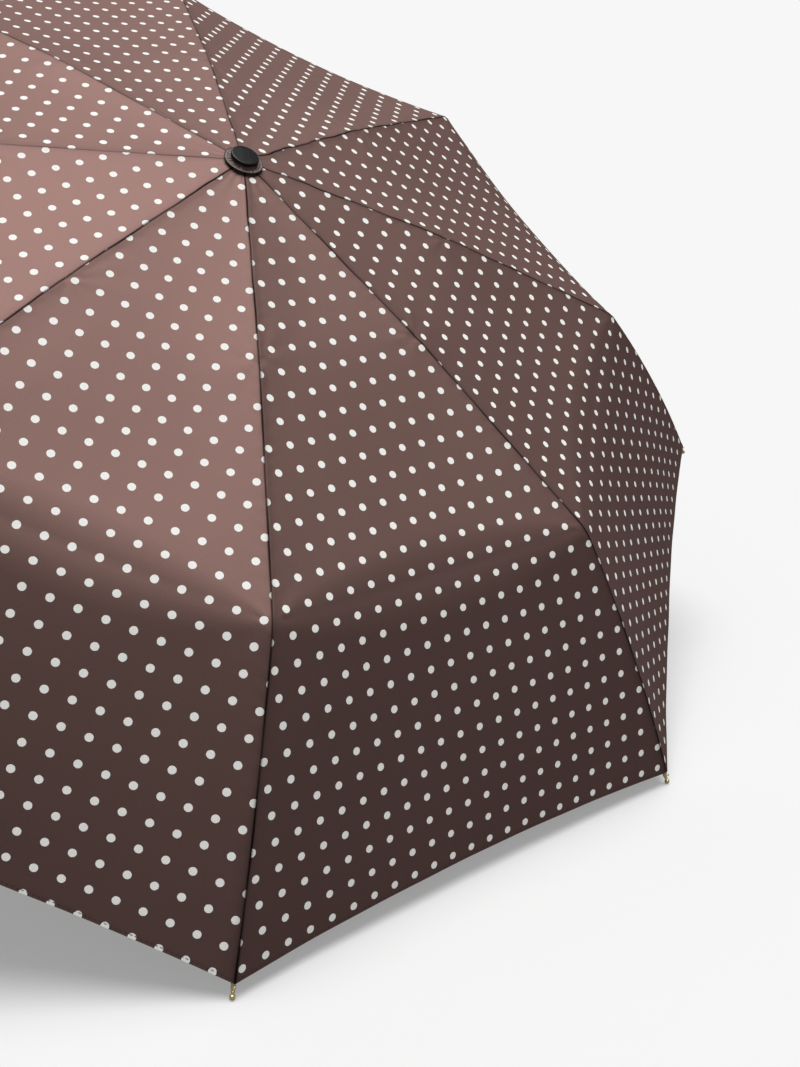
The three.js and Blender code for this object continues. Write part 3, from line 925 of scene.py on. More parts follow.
        height = 0.16 * MM * bump_at(distance, 3.2 * MM) - 0.45 * MM * bump_at(distance, 0.6 * MM)
        pucker = np.sin(along / (1.9 * MM) + rib_waves + 2.2 * np.sin(along / (17 * MM) + waves[0]))
        height += 0.06 * MM * pucker * (bump_at(distance, 7 * MM) - bump_at(distance, 1.5 * MM))

        inner = np.hypot(distance, along - self.marks[1])
        outer = np.hypot(distance, along - self.marks[2])
        height -= 0.7 * MM * bump_at(inner, 3.5 * MM) + 0.2 * MM * bump_at(outer, 4 * MM)
        for number, spread in ((1, inner), (2, outer)):
            bearing = np.arctan2(along - self.marks[number], distance + 1e-6)
            ray = np.cos(7 * bearing + waves[number]) * np.exp(-spread / (24 * MM))
            height += 0.16 * MM * ray * smoothstep(2 * MM, 9 * MM, distance)

        hub = np.exp(-along / (26 * MM)) * smoothstep(0.5 * MM, 2.5 * MM, distance)
        height += 0.1 * MM * hub * np.sin(across * 9 + waves[3])

        inwards = smoothstep(4 * MM, 45 * MM, distance)
        place = across * half
        broad = (
            np.sin(place / (37 * MM) + along / (52 * MM) + waves[4])
            + 0.7 * np.sin(place / (24 * MM) - along / (61 * MM) + waves[5])
            + 0.5 * np.sin(place / (58 * MM) + along / (23 * MM) + waves[6])
        )
        height += 0.3 * MM * broad * inwards
        pull = np.sin(place / (9.5 * MM) + 1.3 * np.sin(along / (60 * MM) + waves[7]) + waves[8])
        near_hem = smoothstep(self.marks[3] - 60 * MM, self.marks[3], along)
        height += 0.1 * MM * pull * inwards * near_hem
        return height

    def _wander(self, rib: np.ndarray, along: np.ndarray) -> np.ndarray:
        """How far a seam strays sideways from its rib.

        Args:
            rib: the rib at each point, counted from 0.
            along: the distance from the hole, over a rib.

        Returns:
            The distances in metres.
        """
        phase = np.random.default_rng(5).uniform(0, 2 * math.pi, RIBS)[rib]
        reach = np.array(self.seam_waver)[rib]
        wave = np.sin(along / (7.5 * MM) + phase) + 0.35 * np.sin(along / (2.9 * MM) + 2 * phase)
        return reach * wave * (0.25 + 0.75 * np.exp(-along / (110 * MM)))

    def seam_gap(self, gore: int, across: np.ndarray, along: np.ndarray) -> np.ndarray:
        """How much painted shade lies in the gap of a seam and in the fold beside it, from 0 on open cloth to 1.

        Args:
            gore: the gore, counted from 0.
            across: -1 at the left rib to 1 at the right one.
            along: the distance from the hole, over a rib.

        Returns:
            The darkness at each point.
        """
        distance = (1 - np.abs(across)) * self.half_width(along)
        rib = self._nearest_rib(gore, across)
        phase = np.random.default_rng(9).uniform(0, 2 * math.pi, RIBS)[rib]
        uneven = 0.85 + 0.15 * np.sin(along / (13 * MM) + phase)
        droop = smoothstep(self.marks[2] - 10 * MM, self.marks[3], along)
        # painted shade: a dark line in the seam's gap, and a softer band of shade in the fold beside it, stronger on
        # one side of the drooping outer section
        line = 0.98 * bump_at(distance, 0.85 * MM) * uneven
        fold = (0.14 + 0.3 * droop * (across > 0)) * bump_at(distance, 3.4 * MM)
        return np.clip(np.array(self.seam_shade_strength)[rib] * (line + fold), 0, 1)

    def surface(self, gore: int, across: np.ndarray, along: np.ndarray, raised: object = 0.0) -> np.ndarray:
        """The cloth's face.

        Args:
            gore: the gore, counted from 0.
            across: -1 at the left rib to 1 at the right one.
            along: the distance from the hole, over a rib.
            raised: a further height over the face.

        Returns:
            The points in the umbrella's frame.
        """
        step_along, step_across = 0.5 * MM, 0.004
        points = self._sheet(across, along)
        forward = self._sheet(across, along + step_along) - self._sheet(across, along - step_along)
        inner = np.clip(across, step_across - 1, 1 - step_across)
        sideways = self._sheet(inner + step_across, along) - self._sheet(inner - step_across, along)
        normal = unit(np.cross(forward, sideways))
        distance = (1 - np.abs(across)) * points[..., 0] * math.tan(HALF_GORE)
        rib = self._nearest_rib(gore, across)
        level = np.zeros_like(across)
        side = np.where(across > 0, math.sin(HALF_GORE), -math.sin(HALF_GORE))
        tangential = np.stack([-side, level + math.cos(HALF_GORE), level], axis=-1)
        over_rib = unit(np.cross(forward, tangential))
        near = bump_at(distance, 2.5 * MM)[..., None]
        normal = unit(near * over_rib + (1 - near) * normal)
        stray = self._wander(rib, along) * bump_at(distance, 6 * MM)
        points = points + (self._relief(gore, across, along) + raised)[..., None] * normal
        points = points + stray[..., None] * tangential
        turn = rib_azimuth(gore + 1.5)
        x, y, z = points[..., 0], points[..., 1], points[..., 2]
        return np.stack([x * math.cos(turn) - y * math.sin(turn), x * math.sin(turn) + y * math.cos(turn), z], -1)

    # the pieces

    def _across(self, half: np.ndarray) -> np.ndarray:
        """The columns of a half gore, from its seam to its middle, as shares of half its width.

        Args:
            half: half the gore's width at each row.

        Returns:
            The shares, a row for each width.
        """
        near = np.minimum(1.0, half / (24 * MM))
        distances = [np.zeros_like(half)] + [d * near for d in self.near_seam]
        last = distances[-1]
        for i in range(1, self.columns + 1):
            distances.append(last + (half - last) * i / self.columns)
        return 1 - np.stack(distances, axis=-1) / half[:, None]

    def _rows(self, section: Section) -> np.ndarray:
        """The rows of a section, as distances from the hole; the outer one has rows for its hem.

        Args:
            section: the section of the rib that carries it.

        Returns:
            The distances.
        """
        number = list(Section).index(section)
        start, end = self.marks[number], self.marks[number + 1]
        if section is not Section.OUTER:
            return np.linspace(start, end, round((end - start) / self.row_step) + 1)
        inner = end - self.hem_width
        plain = np.linspace(start, inner - 1 * MM, round((inner - start) / self.row_step) + 1)
        hem = inner + np.array([-0.45, -0.05, 0.25, 1.0, 1.8]) * MM
        return np.concatenate([plain, hem, [end - 0.4 * MM, end]])

    def flat(self, gore: int, across: np.ndarray, along: np.ndarray) -> np.ndarray:
        """Where a point of the cloth lies on the flat, printed cloth, along its rows of dots.

        Args:
            gore: the gore, counted from 0.
            across: -1 at the left rib to 1 at the right one.
            along: the distance from the hole, over a rib.

        Returns:
            The points of the flat cloth.
        """
        u = across * self.half_width(along) - self.print_start[gore][0]
        v = np.interp(along, self.marks, self.flat_marks) + np.maximum(0, along - self.marks[3])
        v -= self.print_start[gore][1]
        turn = -math.radians(self.print_turn[gore])
        return np.stack([u * math.cos(turn) - v * math.sin(turn), u * math.sin(turn) + v * math.cos(turn)], -1)

    def half_section(self, gore: int, side: Side, section: Section) -> bpy.types.Object:
        """One half of one section of a gore, as a single sheet that ends in the folded hem.

        Args:
            gore: the gore, counted from 0.
            side: which half.
            section: which section of the rib carries it.

        Returns:
            The new object, with its flat cloth in the UV map named cloth.
        """
        rows = self._rows(section)
        raised = np.zeros_like(rows)
        cloth = rows.copy()
        if section is Section.OUTER:
            end = self.marks[3]
            raised = 0.28 * MM * smoothstep(end - self.hem_width - 0.1 * MM, end - self.hem_width + 0.3 * MM, rows)
            raised[-1] = 0.0
            under = end - np.array([0.3, 1.0, 2.0, 2.8]) * MM
            rows = np.concatenate([rows, under])
            cloth = np.concatenate([cloth, 2 * end - under])
            raised = np.concatenate([raised, np.array([-0.3, -0.4, -0.4, -0.4]) * MM])
        across = self._across(self.half_width(rows)) * side.value
        along = np.repeat(rows[:, None], across.shape[1], axis=1)
        height = np.repeat(raised[:, None], across.shape[1], axis=1)
        points = self.surface(gore, across, along, height)
        normals = self._normals(gore, across, along)
        if section is Section.OUTER:
            normals[-len(under):] *= -1
        count = across.shape[1]
        faces = []
        for row in range(len(rows) - 1):
            for column in range(count - 1):
                a = row * count + column
                quad = [a, a + count, a + count + 1, a + 1]
                faces.append(quad if side is Side.LEFT else quad[::-1])
        name = f"gore_{gore + 1}_{section.value}_{side.name.lower()}"
        piece = new_object(name, self.placement.place(points.reshape(-1, 3)), faces)
        flat_along = np.repeat(cloth[:, None], count, axis=1)
        flat = self.flat(gore, across, flat_along).reshape(-1, 2)
        layer = piece.data.uv_layers.new(name="cloth")
        corners = np.zeros(len(piece.data.loops), dtype=np.int32)
        piece.data.loops.foreach_get("vertex_index", corners)
        layer.data.foreach_set("uv", flat[corners].astype(np.float32).ravel())
        # the painted shade of the seam gaps and folds, kept per point for the material
        gap = piece.data.attributes.new("seam_gap", "FLOAT", "POINT")
        gap.data.foreach_set("value", self.seam_gap(gore, across, along).astype(np.float32).ravel())
        piece.data.polygons.foreach_set("use_smooth", [True] * len(piece.data.polygons))
        turn = np.array(self.placement.to_row.to_3x3())
        piece.data.normals_split_custom_set_from_vertices([tuple(n) for n in normals.reshape(-1, 3) @ turn.T])
        return piece

    def _normals(self, gore: int, across: np.ndarray, along: np.ndarray) -> np.ndarray:
        """The cloth's normals, from its neighbours on the same sheet.

        Args:
            gore: the gore, counted from 0.
            across: -1 at the left rib to 1 at the right one.
            along: the distance from the hole, over a rib.

        Returns:
            The normals in the umbrella's frame.
        """
        step_along = 0.4 * MM
        step_across = 0.35 * MM / self.half_width(along)
        forward = self.surface(gore, across, along + step_along) - self.surface(gore, across, along - step_along)
        low, high = np.clip(across - step_across, -1, 1), np.clip(across + step_across, -1, 1)
        sideways = self.surface(gore, high, along) - self.surface(gore, low, along)
        return unit(np.cross(forward, sideways))

    @staticmethod
    def carrier(gore: int, side: Side, section: Section) -> str:
        """The body that carries a half section: the rib section at its seam."""
        rib = (gore + (side is Side.RIGHT)) % RIBS + 1
        return f"{section.value}_rib_{rib}"

    def fold(self, piece: bpy.types.Object, gore: int, side: Side, section: Section) -> None:
        """Gives a half section a mesh of its own, after working out its seam's line and the way from the seam into
        the gore; it does not gather the cloth.

        Args:
            piece: the piece.
            gore: the gore, counted from 0.
            side: which half of the gore.
            section: the section of the rib that carries it.
        """
        number = list(Section).index(section)
        start, end = self.marks[number], self.marks[number + 1]
        seam = self.surface(gore, np.array([1.0, 1.0]) * side.value, np.array([start, end]))
        middle = self.surface(gore, np.array([0.0, 0.0]), np.array([start, end]))
        seam, middle = self.placement.place(seam), self.placement.place(middle)
        along = Vector(seam[1] - seam[0]).normalized()
        inward = Vector(middle[1] - seam[1])
        inward -= inward.dot(along) * along
        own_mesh(piece)

    def build(self, wardrobe: Wardrobe) -> None:
        """Builds and dresses all the pieces of the canopy.

        Args:
            wardrobe: the umbrella's materials.
        """
        for gore in range(RIBS):
            for section in Section:
                for side in Side:
                    piece = self.half_section(gore, side, section)
                    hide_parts(f"gore_{gore + 1}")
                    body = self.carrier(gore, side, section)
                    dress(piece, wardrobe.canopy, body)
                    self._declare(section)
                    self.fold(piece, gore, side, section)

    def _declare(self, section: Section) -> None:
        """Works out the length of flat cloth a half section is cut from, and does not keep it.

        Args:
            section: the section of the rib that carries it.
        """
        number = list(Section).index(section)
        length = self.flat_marks[number + 1] - self.flat_marks[number]
        if section is Section.OUTER:
            length += self.hem_width


# ---------------------------------------------------------------- hub


@dataclass
class Hub:
    """The cap and the gathered rosette under it, on the end of the shaft.

    Attributes:
        placement: the umbrella's axes.
        cap_radius: half the cap's width.
        cap_thickness: the cap's height at its rim.
        cap_dome: how far its middle stands over its rim.
        rosette_radius: half the rosette's width.
        pleats: how many pleats the rosette is gathered into.
    """

    placement: Placement
    cap_radius: float = 9.5 * MM
    cap_thickness: float = 2.8 * MM
    cap_dome: float = 0.25 * MM
    rosette_radius: float = 13.3 * MM
    pleats: int = 11

    def _cap(self, wardrobe: Wardrobe) -> None:
        """The pressed black cap with its low dome, rim land and stem.

        Args:
            wardrobe: the umbrella's materials.
        """
        _, highest, _ = self.placement.span("cap")
        base, radius = highest - self.cap_thickness, self.cap_radius
        top = base + self.cap_thickness - self.cap_dome
        stem = 4.9 * MM
        edge = 0.55 * MM
        dome = [
            [radius - edge - (radius - edge) * i / 8, top + self.cap_dome * (1 - ((8 - i) / 8) ** 2)]
            for i in range(1, 8)
        ]
        profile = [
            [0, base - 6 * MM], [stem, base - 6 * MM], [stem, base + 0.5 * MM],
            [radius - 1.2 * MM, base + 0.5 * MM], [radius - 1.0 * MM, base],
            *rounded(radius - 0.35 * MM, base + 0.35 * MM, 0.35 * MM, -90, 0, 4),
            *rounded(radius - edge, top - edge, edge, 0, 80),
            *dome, [0, top + self.cap_dome],
        ]
        piece = turned("cap_disc", profile, self.placement.to_row, 96)
        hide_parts("cap")
        dress(piece, wardrobe.cap, "root")
        rim_place = self.placement.to_row @ Matrix.Translation((0, 0, top - 0.28 * MM))
        rim = ring("cap_rim", radius - 0.42 * MM, 0.3 * MM, (96, 12), rim_place)
        dress(rim, wardrobe.rim, "root")

    def _rosette(self, wardrobe: Wardrobe) -> None:
        """The disc of cloth gathered under the cap, with pleats and a turned-in edge.

        Args:
            wardrobe: the umbrella's materials.
        """
        low, high, _ = self.placement.span("rosette")
        inner, outer = 5.2 * MM, self.rosette_radius
        turns = np.linspace(0, 2 * math.pi, 240, endpoint=False)
        phase = np.random.default_rng(17).uniform(-0.35, 0.35, self.pleats)
        folds = np.zeros_like(turns)
        for i in range(self.pleats):
            centre = 2 * math.pi * (i + phase[i]) / self.pleats
            gap = np.angle(np.exp(1j * (turns - centre)))
            folds += bump_at(gap, 0.075) - 0.45 * bump_at(gap - 0.13, 0.05)
        rows = []
        for share in np.linspace(0, 1, 16):
            radius = inner + (outer - 0.5 * MM - inner) * share
            height = high - 0.25 * MM - 0.35 * MM * share**2 + 0.24 * MM * folds * (0.35 + 0.65 * share)
            rows.append((radius + 0 * turns, height))
        wave = outer - 0.3 * MM + 0.06 * MM * np.sin(turns * 13) - 0.1 * MM * folds
        rows.append((wave - 0.12 * MM, high - 0.75 * MM + 0.2 * MM * folds))
        rows.append((wave, high - 0.95 * MM + 0 * turns))
        rows.append((wave - 0.12 * MM, low + 0.05 * MM + 0 * turns))
        rows.append((wave - 1.5 * MM, low + 0 * turns))
        rows.append((inner + 0 * turns, low + 0 * turns))
        points = np.array([[r * np.cos(turns), r * np.sin(turns), h + 0 * turns] for r, h in rows])
        points = points.transpose(0, 2, 1)
        count = len(turns)
        faces = []
        for row in range(len(rows)):
            after = (row + 1) % len(rows)
            for i in range(count):
                j = (i + 1) % count
                faces.append([row * count + i, after * count + i, after * count + j, row * count + j])
        piece = new_object("rosette_cloth", self.placement.place(points.reshape(-1, 3)), faces)
        smooth_by_angle(piece, 60)
        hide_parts("rosette")
        dress(piece, wardrobe.trim, "root")
        self._rosette_stitches(wardrobe, high)

    def _rosette_stitches(self, wardrobe: Wardrobe, high: float) -> None:
        """The bound edge, the ring of stitches inside it and the short stitches across the pleats.

        Args:
            wardrobe: the umbrella's materials.
            high: the height of the rosette's top.
        """
        edge_place = self.placement.to_row @ Matrix.Translation((0, 0, high - 0.72 * MM))
        binding = ring("rosette_binding", self.rosette_radius - 0.3 * MM, 0.42 * MM, (120, 10), edge_place)
        dress(binding, wardrobe.thread, "root")
        inner = Stitches("rosette_stitches", length=2.1 * MM, width=0.42 * MM)
        across = Stitches("pleat_stitches", length=2.6 * MM, width=0.4 * MM)
        up = np.array([0.0, 0.0, 1.0])
        for run, count, inset, drop in ((inner, 30, 2.0, 0.36), (across, 26, 3.5, 0.28)):
            radius = self.rosette_radius - inset * MM
            for i in range(count):
                turn = 2 * math.pi * i / count
                outward = np.array([math.cos(turn), math.sin(turn), 0.0])
                along = outward if run is across else np.cross(up, outward)
                run.add(radius * outward + (high - drop * MM) * up, along, up)
            dress(run.build(self.placement), wardrobe.thread, "root")

    def build(self, wardrobe: Wardrobe) -> None:
        """Builds the cap and the rosette."""
        self._cap(wardrobe)
        self._rosette(wardrobe)


@dataclass
class Stitches:
    """A run of short stitches, each a small six-sided grain of thread, gathered in one mesh."""

    name: str
    length: float = 1.7 * MM
    width: float = 0.34 * MM
    points: list = field(default_factory=list)
    faces: list = field(default_factory=list)

    def add(self, centre: np.ndarray, along: np.ndarray, up: np.ndarray) -> None:
        """Adds one stitch at a centre, along a direction, on a surface that faces up.

        Args:
            centre: the stitch's middle.
            along: the direction of the thread.
            up: the direction that the surface faces.
        """
        side = np.cross(up, along)
        first = len(self.points)
        for share, swell in ((-0.5, 0.35), (-0.25, 1.0), (0.25, 1.0), (0.5, 0.35)):
            for i in range(6):
                turn = math.pi / 3 * i
                offset = swell * self.width / 2 * (math.cos(turn) * side + math.sin(turn) * up)
                self.points.append(centre + share * self.length * along + offset)
        for ring in range(3):
            for i in range(6):
                a, b = first + ring * 6 + i, first + ring * 6 + (i + 1) % 6
                self.faces.append([a, b, b + 6, a + 6])
        self.faces.append([first + i for i in range(5, -1, -1)])
        self.faces.append([first + 18 + i for i in range(6)])

    def build(self, placement: Placement) -> bpy.types.Object:
        """Makes the mesh of all the stitches.

        Args:
            placement: the umbrella's axes.

        Returns:
            The new object.
        """
        piece = new_object(self.name, placement.place(np.array(self.points)), self.faces)
        face_outwards(piece)
        smooth_by_angle(piece, 60)
        return piece


# ---------------------------------------------------------------- ribs and tips


@dataclass
class RibTips:
    """The eight brass tips: a socket on the rod, a turned stem with a bead, and a ball."""

    placement: Placement
    line: RibLine = RibLine()
    ball: float = 1.75 * MM
    collar: float = 1.45 * MM
    bead: float = 1.25 * MM
    neck: float = 0.95 * MM
    bore: float = 1.0 * MM
    socket: float = 3.6 * MM
    stem: float = 3.0 * MM

    def _profile(self) -> list:
        """The tip's outline from the mouth of its socket to the end of its ball.

        Returns:
            The [radius, height] points.
        """
        floor, ball_centre = self.socket, self.socket + self.stem + self.ball
        start = -math.degrees(math.acos(self.neck / self.ball))
        return [
            [0, floor - 0.8 * MM], [self.bore, floor - 0.8 * MM], [self.bore, 0], [self.collar - 0.12 * MM, 0],
            [self.collar, 0.12 * MM], [self.collar, 1.3 * MM], [self.collar - 0.22 * MM, 1.45 * MM],
            [self.collar - 0.22 * MM, 1.75 * MM], [self.collar, 1.9 * MM], [self.collar, floor + 0.3 * MM],
            [self.neck + 0.1 * MM, floor + 0.75 * MM], [self.neck, floor + 1.0 * MM],
            *rounded(self.bead - 0.42 * MM, floor + 1.55 * MM, 0.42 * MM, -75, 75, 6),
            [self.neck, floor + 2.15 * MM],
            *rounded(0, ball_centre, self.ball, start, 89.5, 16), [0, ball_centre + self.ball],
        ]

    def build(self, wardrobe: Wardrobe) -> None:
        """Builds the tips, with the eye that the cloth's corner is sewn to.

        Args:
            wardrobe: the umbrella's materials.
        """
        line, start = self.line, self.placement.crown_radius
        for number in range(1, RIBS + 1):
            radius, height = line.outer(start, line.outer_length - 3 * MM, line.hinge_offset)
            place = self.placement.rib_matrix(number, radius, height, line.outer_slope)
            place = place @ Matrix.Rotation(math.pi / 2, 4, "Y")
            piece = turned(f"tip_{number}", self._profile(), place, 40)
            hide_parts(f"rib_tip_{number}")
            dress(piece, wardrobe.brass, f"outer_rib_{number}")
            eye = self._eye(number, place)
            dress(eye, wardrobe.brass, f"outer_rib_{number}")

    def _eye(self, number: int, place: Matrix) -> bpy.types.Object:
        """The small ring on the fabric side of the collar.

        Args:
            number: the rib, counted from 1.
            place: the matrix of the tip's own frame.

        Returns:
            The new object.
        """
        offset = Matrix.Translation((-self.collar - 0.62 * MM, 0, 2.4 * MM))
        upright = place @ offset @ Matrix.Rotation(math.pi / 2, 4, "X")
        return ring(f"tip_eye_{number}", 0.95 * MM, 0.26 * MM, (20, 8), upright)


@dataclass
class Ribs:
    """The folding ribs and the stretchers, with broken edges, and the links along them."""

    placement: Placement
    line: RibLine = RibLine()
    bevel: float = 0.15 * MM

    def _wire(self, name: str, points: list, radius: float) -> bpy.types.Object:
        """A straight or bent wire through points of the umbrella's frame.

        Args:
            name: the piece's name.
            points: the points in the whole object's frame.
            radius: half the wire's width.

        Returns:
            The new object.
        """
        curve = bpy.data.curves.new(name, "CURVE")
        curve.dimensions = "3D"
        curve.bevel_depth = radius
        curve.bevel_resolution = 2
        curve.use_fill_caps = True
        spline = curve.splines.new("POLY")
        spline.points.add(len(points) - 1)
        for point, target in zip(points, spline.points):
            target.co = (*point, 1)
        piece = bpy.data.objects.new(name, curve)
        bpy.context.scene.collection.objects.link(piece)
        select_only(piece)
        bpy.ops.object.convert(target="MESH")
        piece = bpy.context.active_object
        smooth_by_angle(piece, 60)
        return piece

    def _links(self, number: int, wardrobe: Wardrobe) -> None:
        """The spring wire under the middle section, which pulls the outer one along.

        Args:
            number: the rib, counted from 1.
            wardrobe: the umbrella's materials.
        """
        line, start = self.line, self.placement.crown_radius
        depth = -line.hinge_offset - line.channel_height / 2 - 1.0 * MM
        stations = [
            (6 * MM, -line.hinge_offset - 0.4 * MM), (10 * MM, depth), (line.middle_length - 12 * MM, depth),
            (line.middle_length - 7 * MM, -line.hinge_offset - 0.6 * MM),
        ]
        turn = Matrix.Rotation(rib_azimuth(number), 4, "Z")
        points = []
        for x, z in stations:
            radius, height = line.middle(start, x, z)
            points.append(self.placement.to_row @ turn @ Vector((radius, 0, height)))
        piece = self._wire(f"pull_wire_{number}", points, 0.45 * MM)
        dress(piece, wardrobe.wire, f"middle_rib_{number}")

    def build(self, wardrobe: Wardrobe) -> None:
        """Builds all the ribs and stretchers.

        Args:
            wardrobe: the umbrella's materials.
        """
        for number in range(1, RIBS + 1):
            for kind in ("top_rib", "middle_rib", "outer_rib", "stretcher"):
                node = f"{kind}_{number}"
                piece = softened_copy(node, f"{kind}_bar_{number}", self.bevel)
                dress(piece, wardrobe.black_steel, node)
            self._links(number, wardrobe)


# ---------------------------------------------------------------- shaft


@dataclass
class Shaft:
    """The telescopic tubes, the crown and runner on them, and the handle.

    Attributes:
        placement: the umbrella's axes.
        handle_radius: half the handle's width.
        handle_length: its length.
    """

    placement: Placement
    handle_radius: float = 14 * MM
    handle_length: float = 70 * MM

    def _tube(self, node: str, body: str, wardrobe: Wardrobe, wall: float = 0.8 * MM) -> None:
        """A drawn tube with a rolled-in lower lip.

        Args:
            node: the CAD node's name.
            body: the CAD body that carries it.
            wardrobe: the umbrella's materials.
            wall: the tube's wall.
        """
        low, high, radius = self.placement.span(node)
        inner = radius - wall
        profile = [
            [inner, low + 0.2 * MM], [inner + 0.2 * MM, low],
            *rounded(radius - 0.3 * MM, low + 0.3 * MM, 0.3 * MM, -90, 0, 4),
            [radius, low + 2.2 * MM], [radius - 0.15 * MM, low + 2.5 * MM], [radius - 0.15 * MM, low + 3.1 * MM],
            [radius, low + 3.4 * MM], *rounded(radius - 0.2 * MM, high - 0.2 * MM, 0.2 * MM, 0, 90, 3),
            [inner, high],
        ]
        piece = turned(f"{node}_drawn", profile, self.placement.to_row, 56)
        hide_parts(node)
        dress(piece, wardrobe.tube, body)

    def _handle(self, wardrobe: Wardrobe) -> None:
        """The soft-touch grip with finger grooves, a collar ring and an end cap.

        Args:
            wardrobe: the umbrella's materials.
        """
        low, high, radius = self.placement.span("handle")
        edge, groove = 2.6 * MM, 0.55 * MM
        neck = 11 * MM
        profile = [[0, low], *rounded(radius - edge, low + edge, edge, -90, 0, 8)]
        profile += [[radius, low + 6 * MM], [radius - 0.4 * MM, low + 6.3 * MM], [radius - 0.4 * MM, low + 6.8 * MM]]
        profile += [[radius, low + 7.1 * MM]]
        waist, shoulder = low + 0.5 * self.handle_length, high - 6 * MM
        for i in range(7):
            centre = low + 14 * MM + i * 5.2 * MM
            body = self._handle_radius(centre, low, waist, shoulder, neck)
            profile += [
                [body, centre - 1.3 * MM], [body - 0.7 * groove, centre - 0.7 * MM], [body - groove, centre],
                [body - 0.7 * groove, centre + 0.7 * MM], [body, centre + 1.3 * MM],
            ]
        profile += [[neck + 0.5 * MM, shoulder - 4 * MM], [neck, shoulder], [neck, high - 4.2 * MM]]
        profile += rounded(neck - 3.4 * MM, high - 3.4 * MM, 3.4 * MM, 0, 90, 8)
        profile += [[4.2 * MM, high], [4.2 * MM, high - 20 * MM], [0, high - 20 * MM]]
        piece = turned("grip", profile, self.placement.to_row, 96)
        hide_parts("handle")
        dress(piece, wardrobe.grip, "lower_tube")

    def _handle_radius(self, height: float, low: float, waist: float, shoulder: float, neck: float) -> float:
        """The grip's plain radius at a height.

        Args:
            height: the height asked about.
            low: the height of the grip's end.
            waist: the height of its slimmest part.
            shoulder: the height of its shoulder.
            neck: its neck's radius.

        Returns:
            The radius.
        """
        full = self.handle_radius
        slim = full - 0.8 * MM
        return float(np.interp(height, [low + 7 * MM, waist, shoulder - 4 * MM], [full, slim, neck + 0.5 * MM]))

    def build(self, wardrobe: Wardrobe) -> None:
        """Builds the shaft's pieces.

        Args:
            wardrobe: the umbrella's materials.
        """
        for node, body in (("upper_tube", "root"), ("middle_tube", "middle_tube"), ("lower_tube", "lower_tube")):
            self._tube(node, body, wardrobe)
        self._handle(wardrobe)
        for node, body in (("crown", "root"), ("runner", "runner")):
            piece = softened_copy(node, f"{node}_moulding", 0.3 * MM)
            dress(piece, wardrobe.plastic, body)
        shown = {"crown_wire": wardrobe.wire, "runner_wire": wardrobe.wire, "runner_catch": wardrobe.tube}
        for node, material in shown.items():
            data = frame["nodes"][node].data
            data.materials.clear()
            data.materials.append(material)


# ---------------------------------------------------------------- strap


@dataclass
class ClosingStrap:
    """The strap that ties the folded umbrella, hanging from the hem with a press stud at its end."""

    width: float = 16 * MM
    thickness: float = 0.8 * MM
    sway: float = 2.2 * MM

    def build(self, wardrobe: Wardrobe) -> None:
        """Builds the strap and its stud.

        Args:
            wardrobe: the umbrella's materials.
        """
        low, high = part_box("closing_strap")
        middle = (low + high) / 2
        length = high.z - low.z
        rows, columns = 60, 8
        points, faces = [], []
        for face in (1, -1):
            for i in range(rows + 1):
                share = i / rows
                bend = self.sway * math.sin(math.pi * 1.15 * share) * share
                for j in range(columns + 1):
                    across = 2 * j / columns - 1
                    half = self.width / 2 * (1 - 0.55 * max(0, (share - 0.94) / 0.06) ** 2)
                    cup = 0.35 * MM * across**2
                    seam = 0.14 * MM * math.exp(-(((abs(across) - 0.82) / 0.06) ** 2))
                    depth = face * (self.thickness / 2 - seam - 0.25 * MM * max(0, abs(across) - 0.9) / 0.1)
                    points.append((middle.x + across * half, middle.y + bend + cup + depth, high.z - share * length))
        count = columns + 1
        layer = (rows + 1) * count
        for i in range(rows):
            for j in range(columns):
                a = i * count + j
                faces.append([a, a + 1, a + count + 1, a + count])
                faces.append([layer + a, layer + a + count, layer + a + count + 1, layer + a + 1])
            a, b = i * count, i * count + columns
            faces.append([a, a + count, layer + a + count, layer + a])
            faces.append([b + count, b, layer + b, layer + b + count])
        for j in range(columns):
            a = rows * count + j
            faces.append([j + 1, j, layer + j, layer + j + 1])
            faces.append([a, a + 1, layer + a + 1, layer + a])
        piece = new_object("closing_band", np.array(points), faces)
        face_outwards(piece)
        smooth_by_angle(piece, 50)
        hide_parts("closing_strap")
        dress(piece, wardrobe.trim, "outer_rib_6")
        stud_place = Matrix.Translation((middle.x, middle.y + 0.4 * MM, low.z + 14 * MM))
        stud_place = stud_place @ Matrix.Rotation(-math.pi / 2, 4, "X")
        profile = [
            [0, -0.2 * MM], [4.6 * MM, -0.2 * MM], [4.6 * MM, 0.35 * MM], [4.1 * MM, 0.75 * MM],
            [2.6 * MM, 0.8 * MM], [2.3 * MM, 1.5 * MM], [1.2 * MM, 1.9 * MM], [0, 1.95 * MM],
        ]
        stud = turned("press_stud", profile, stud_place, 40)
        dress(stud, wardrobe.wire, "outer_rib_6")


# ---------------------------------------------------------------- hem and seam threads


@dataclass
class HemThreads:
    """The row of stitches that holds the hem, half a gore at a time."""

    canopy: Canopy
    pitch: float = 3.0 * MM
    inset: float = 2.2 * MM

    def build(self, wardrobe: Wardrobe) -> None:
        """Builds one run of stitches for each half gore.

        Args:
            wardrobe: the umbrella's materials.
        """
        canopy = self.canopy
        along = canopy.marks[3] - self.inset
        half = float(canopy.half_width(along))
        count = int(half / self.pitch)
        for gore in range(RIBS):
            for side in Side:
                run = Stitches(f"hem_stitches_{gore + 1}_{side.name.lower()}", length=1.9 * MM)
                shares = (1 - (np.arange(count) + 0.6) * self.pitch / half) * side.value
                level = np.full_like(shares, along)
                centres = canopy.surface(gore, shares, level, 0.33 * MM)
                ahead = canopy.surface(gore, shares + 0.004, level, 0.33 * MM)
                over = canopy.surface(gore, shares, level, 1.33 * MM)
                for centre, step, top in zip(centres, ahead, over):
                    forward = (step - centre) / np.linalg.norm(step - centre)
                    run.add(centre, forward, (top - centre) / np.linalg.norm(top - centre))
                piece = run.build(canopy.placement)
                dress(piece, wardrobe.thread, canopy.carrier(gore, side, Section.OUTER))
                canopy.fold(piece, gore, side, Section.OUTER)


# ---------------------------------------------------------------- studio


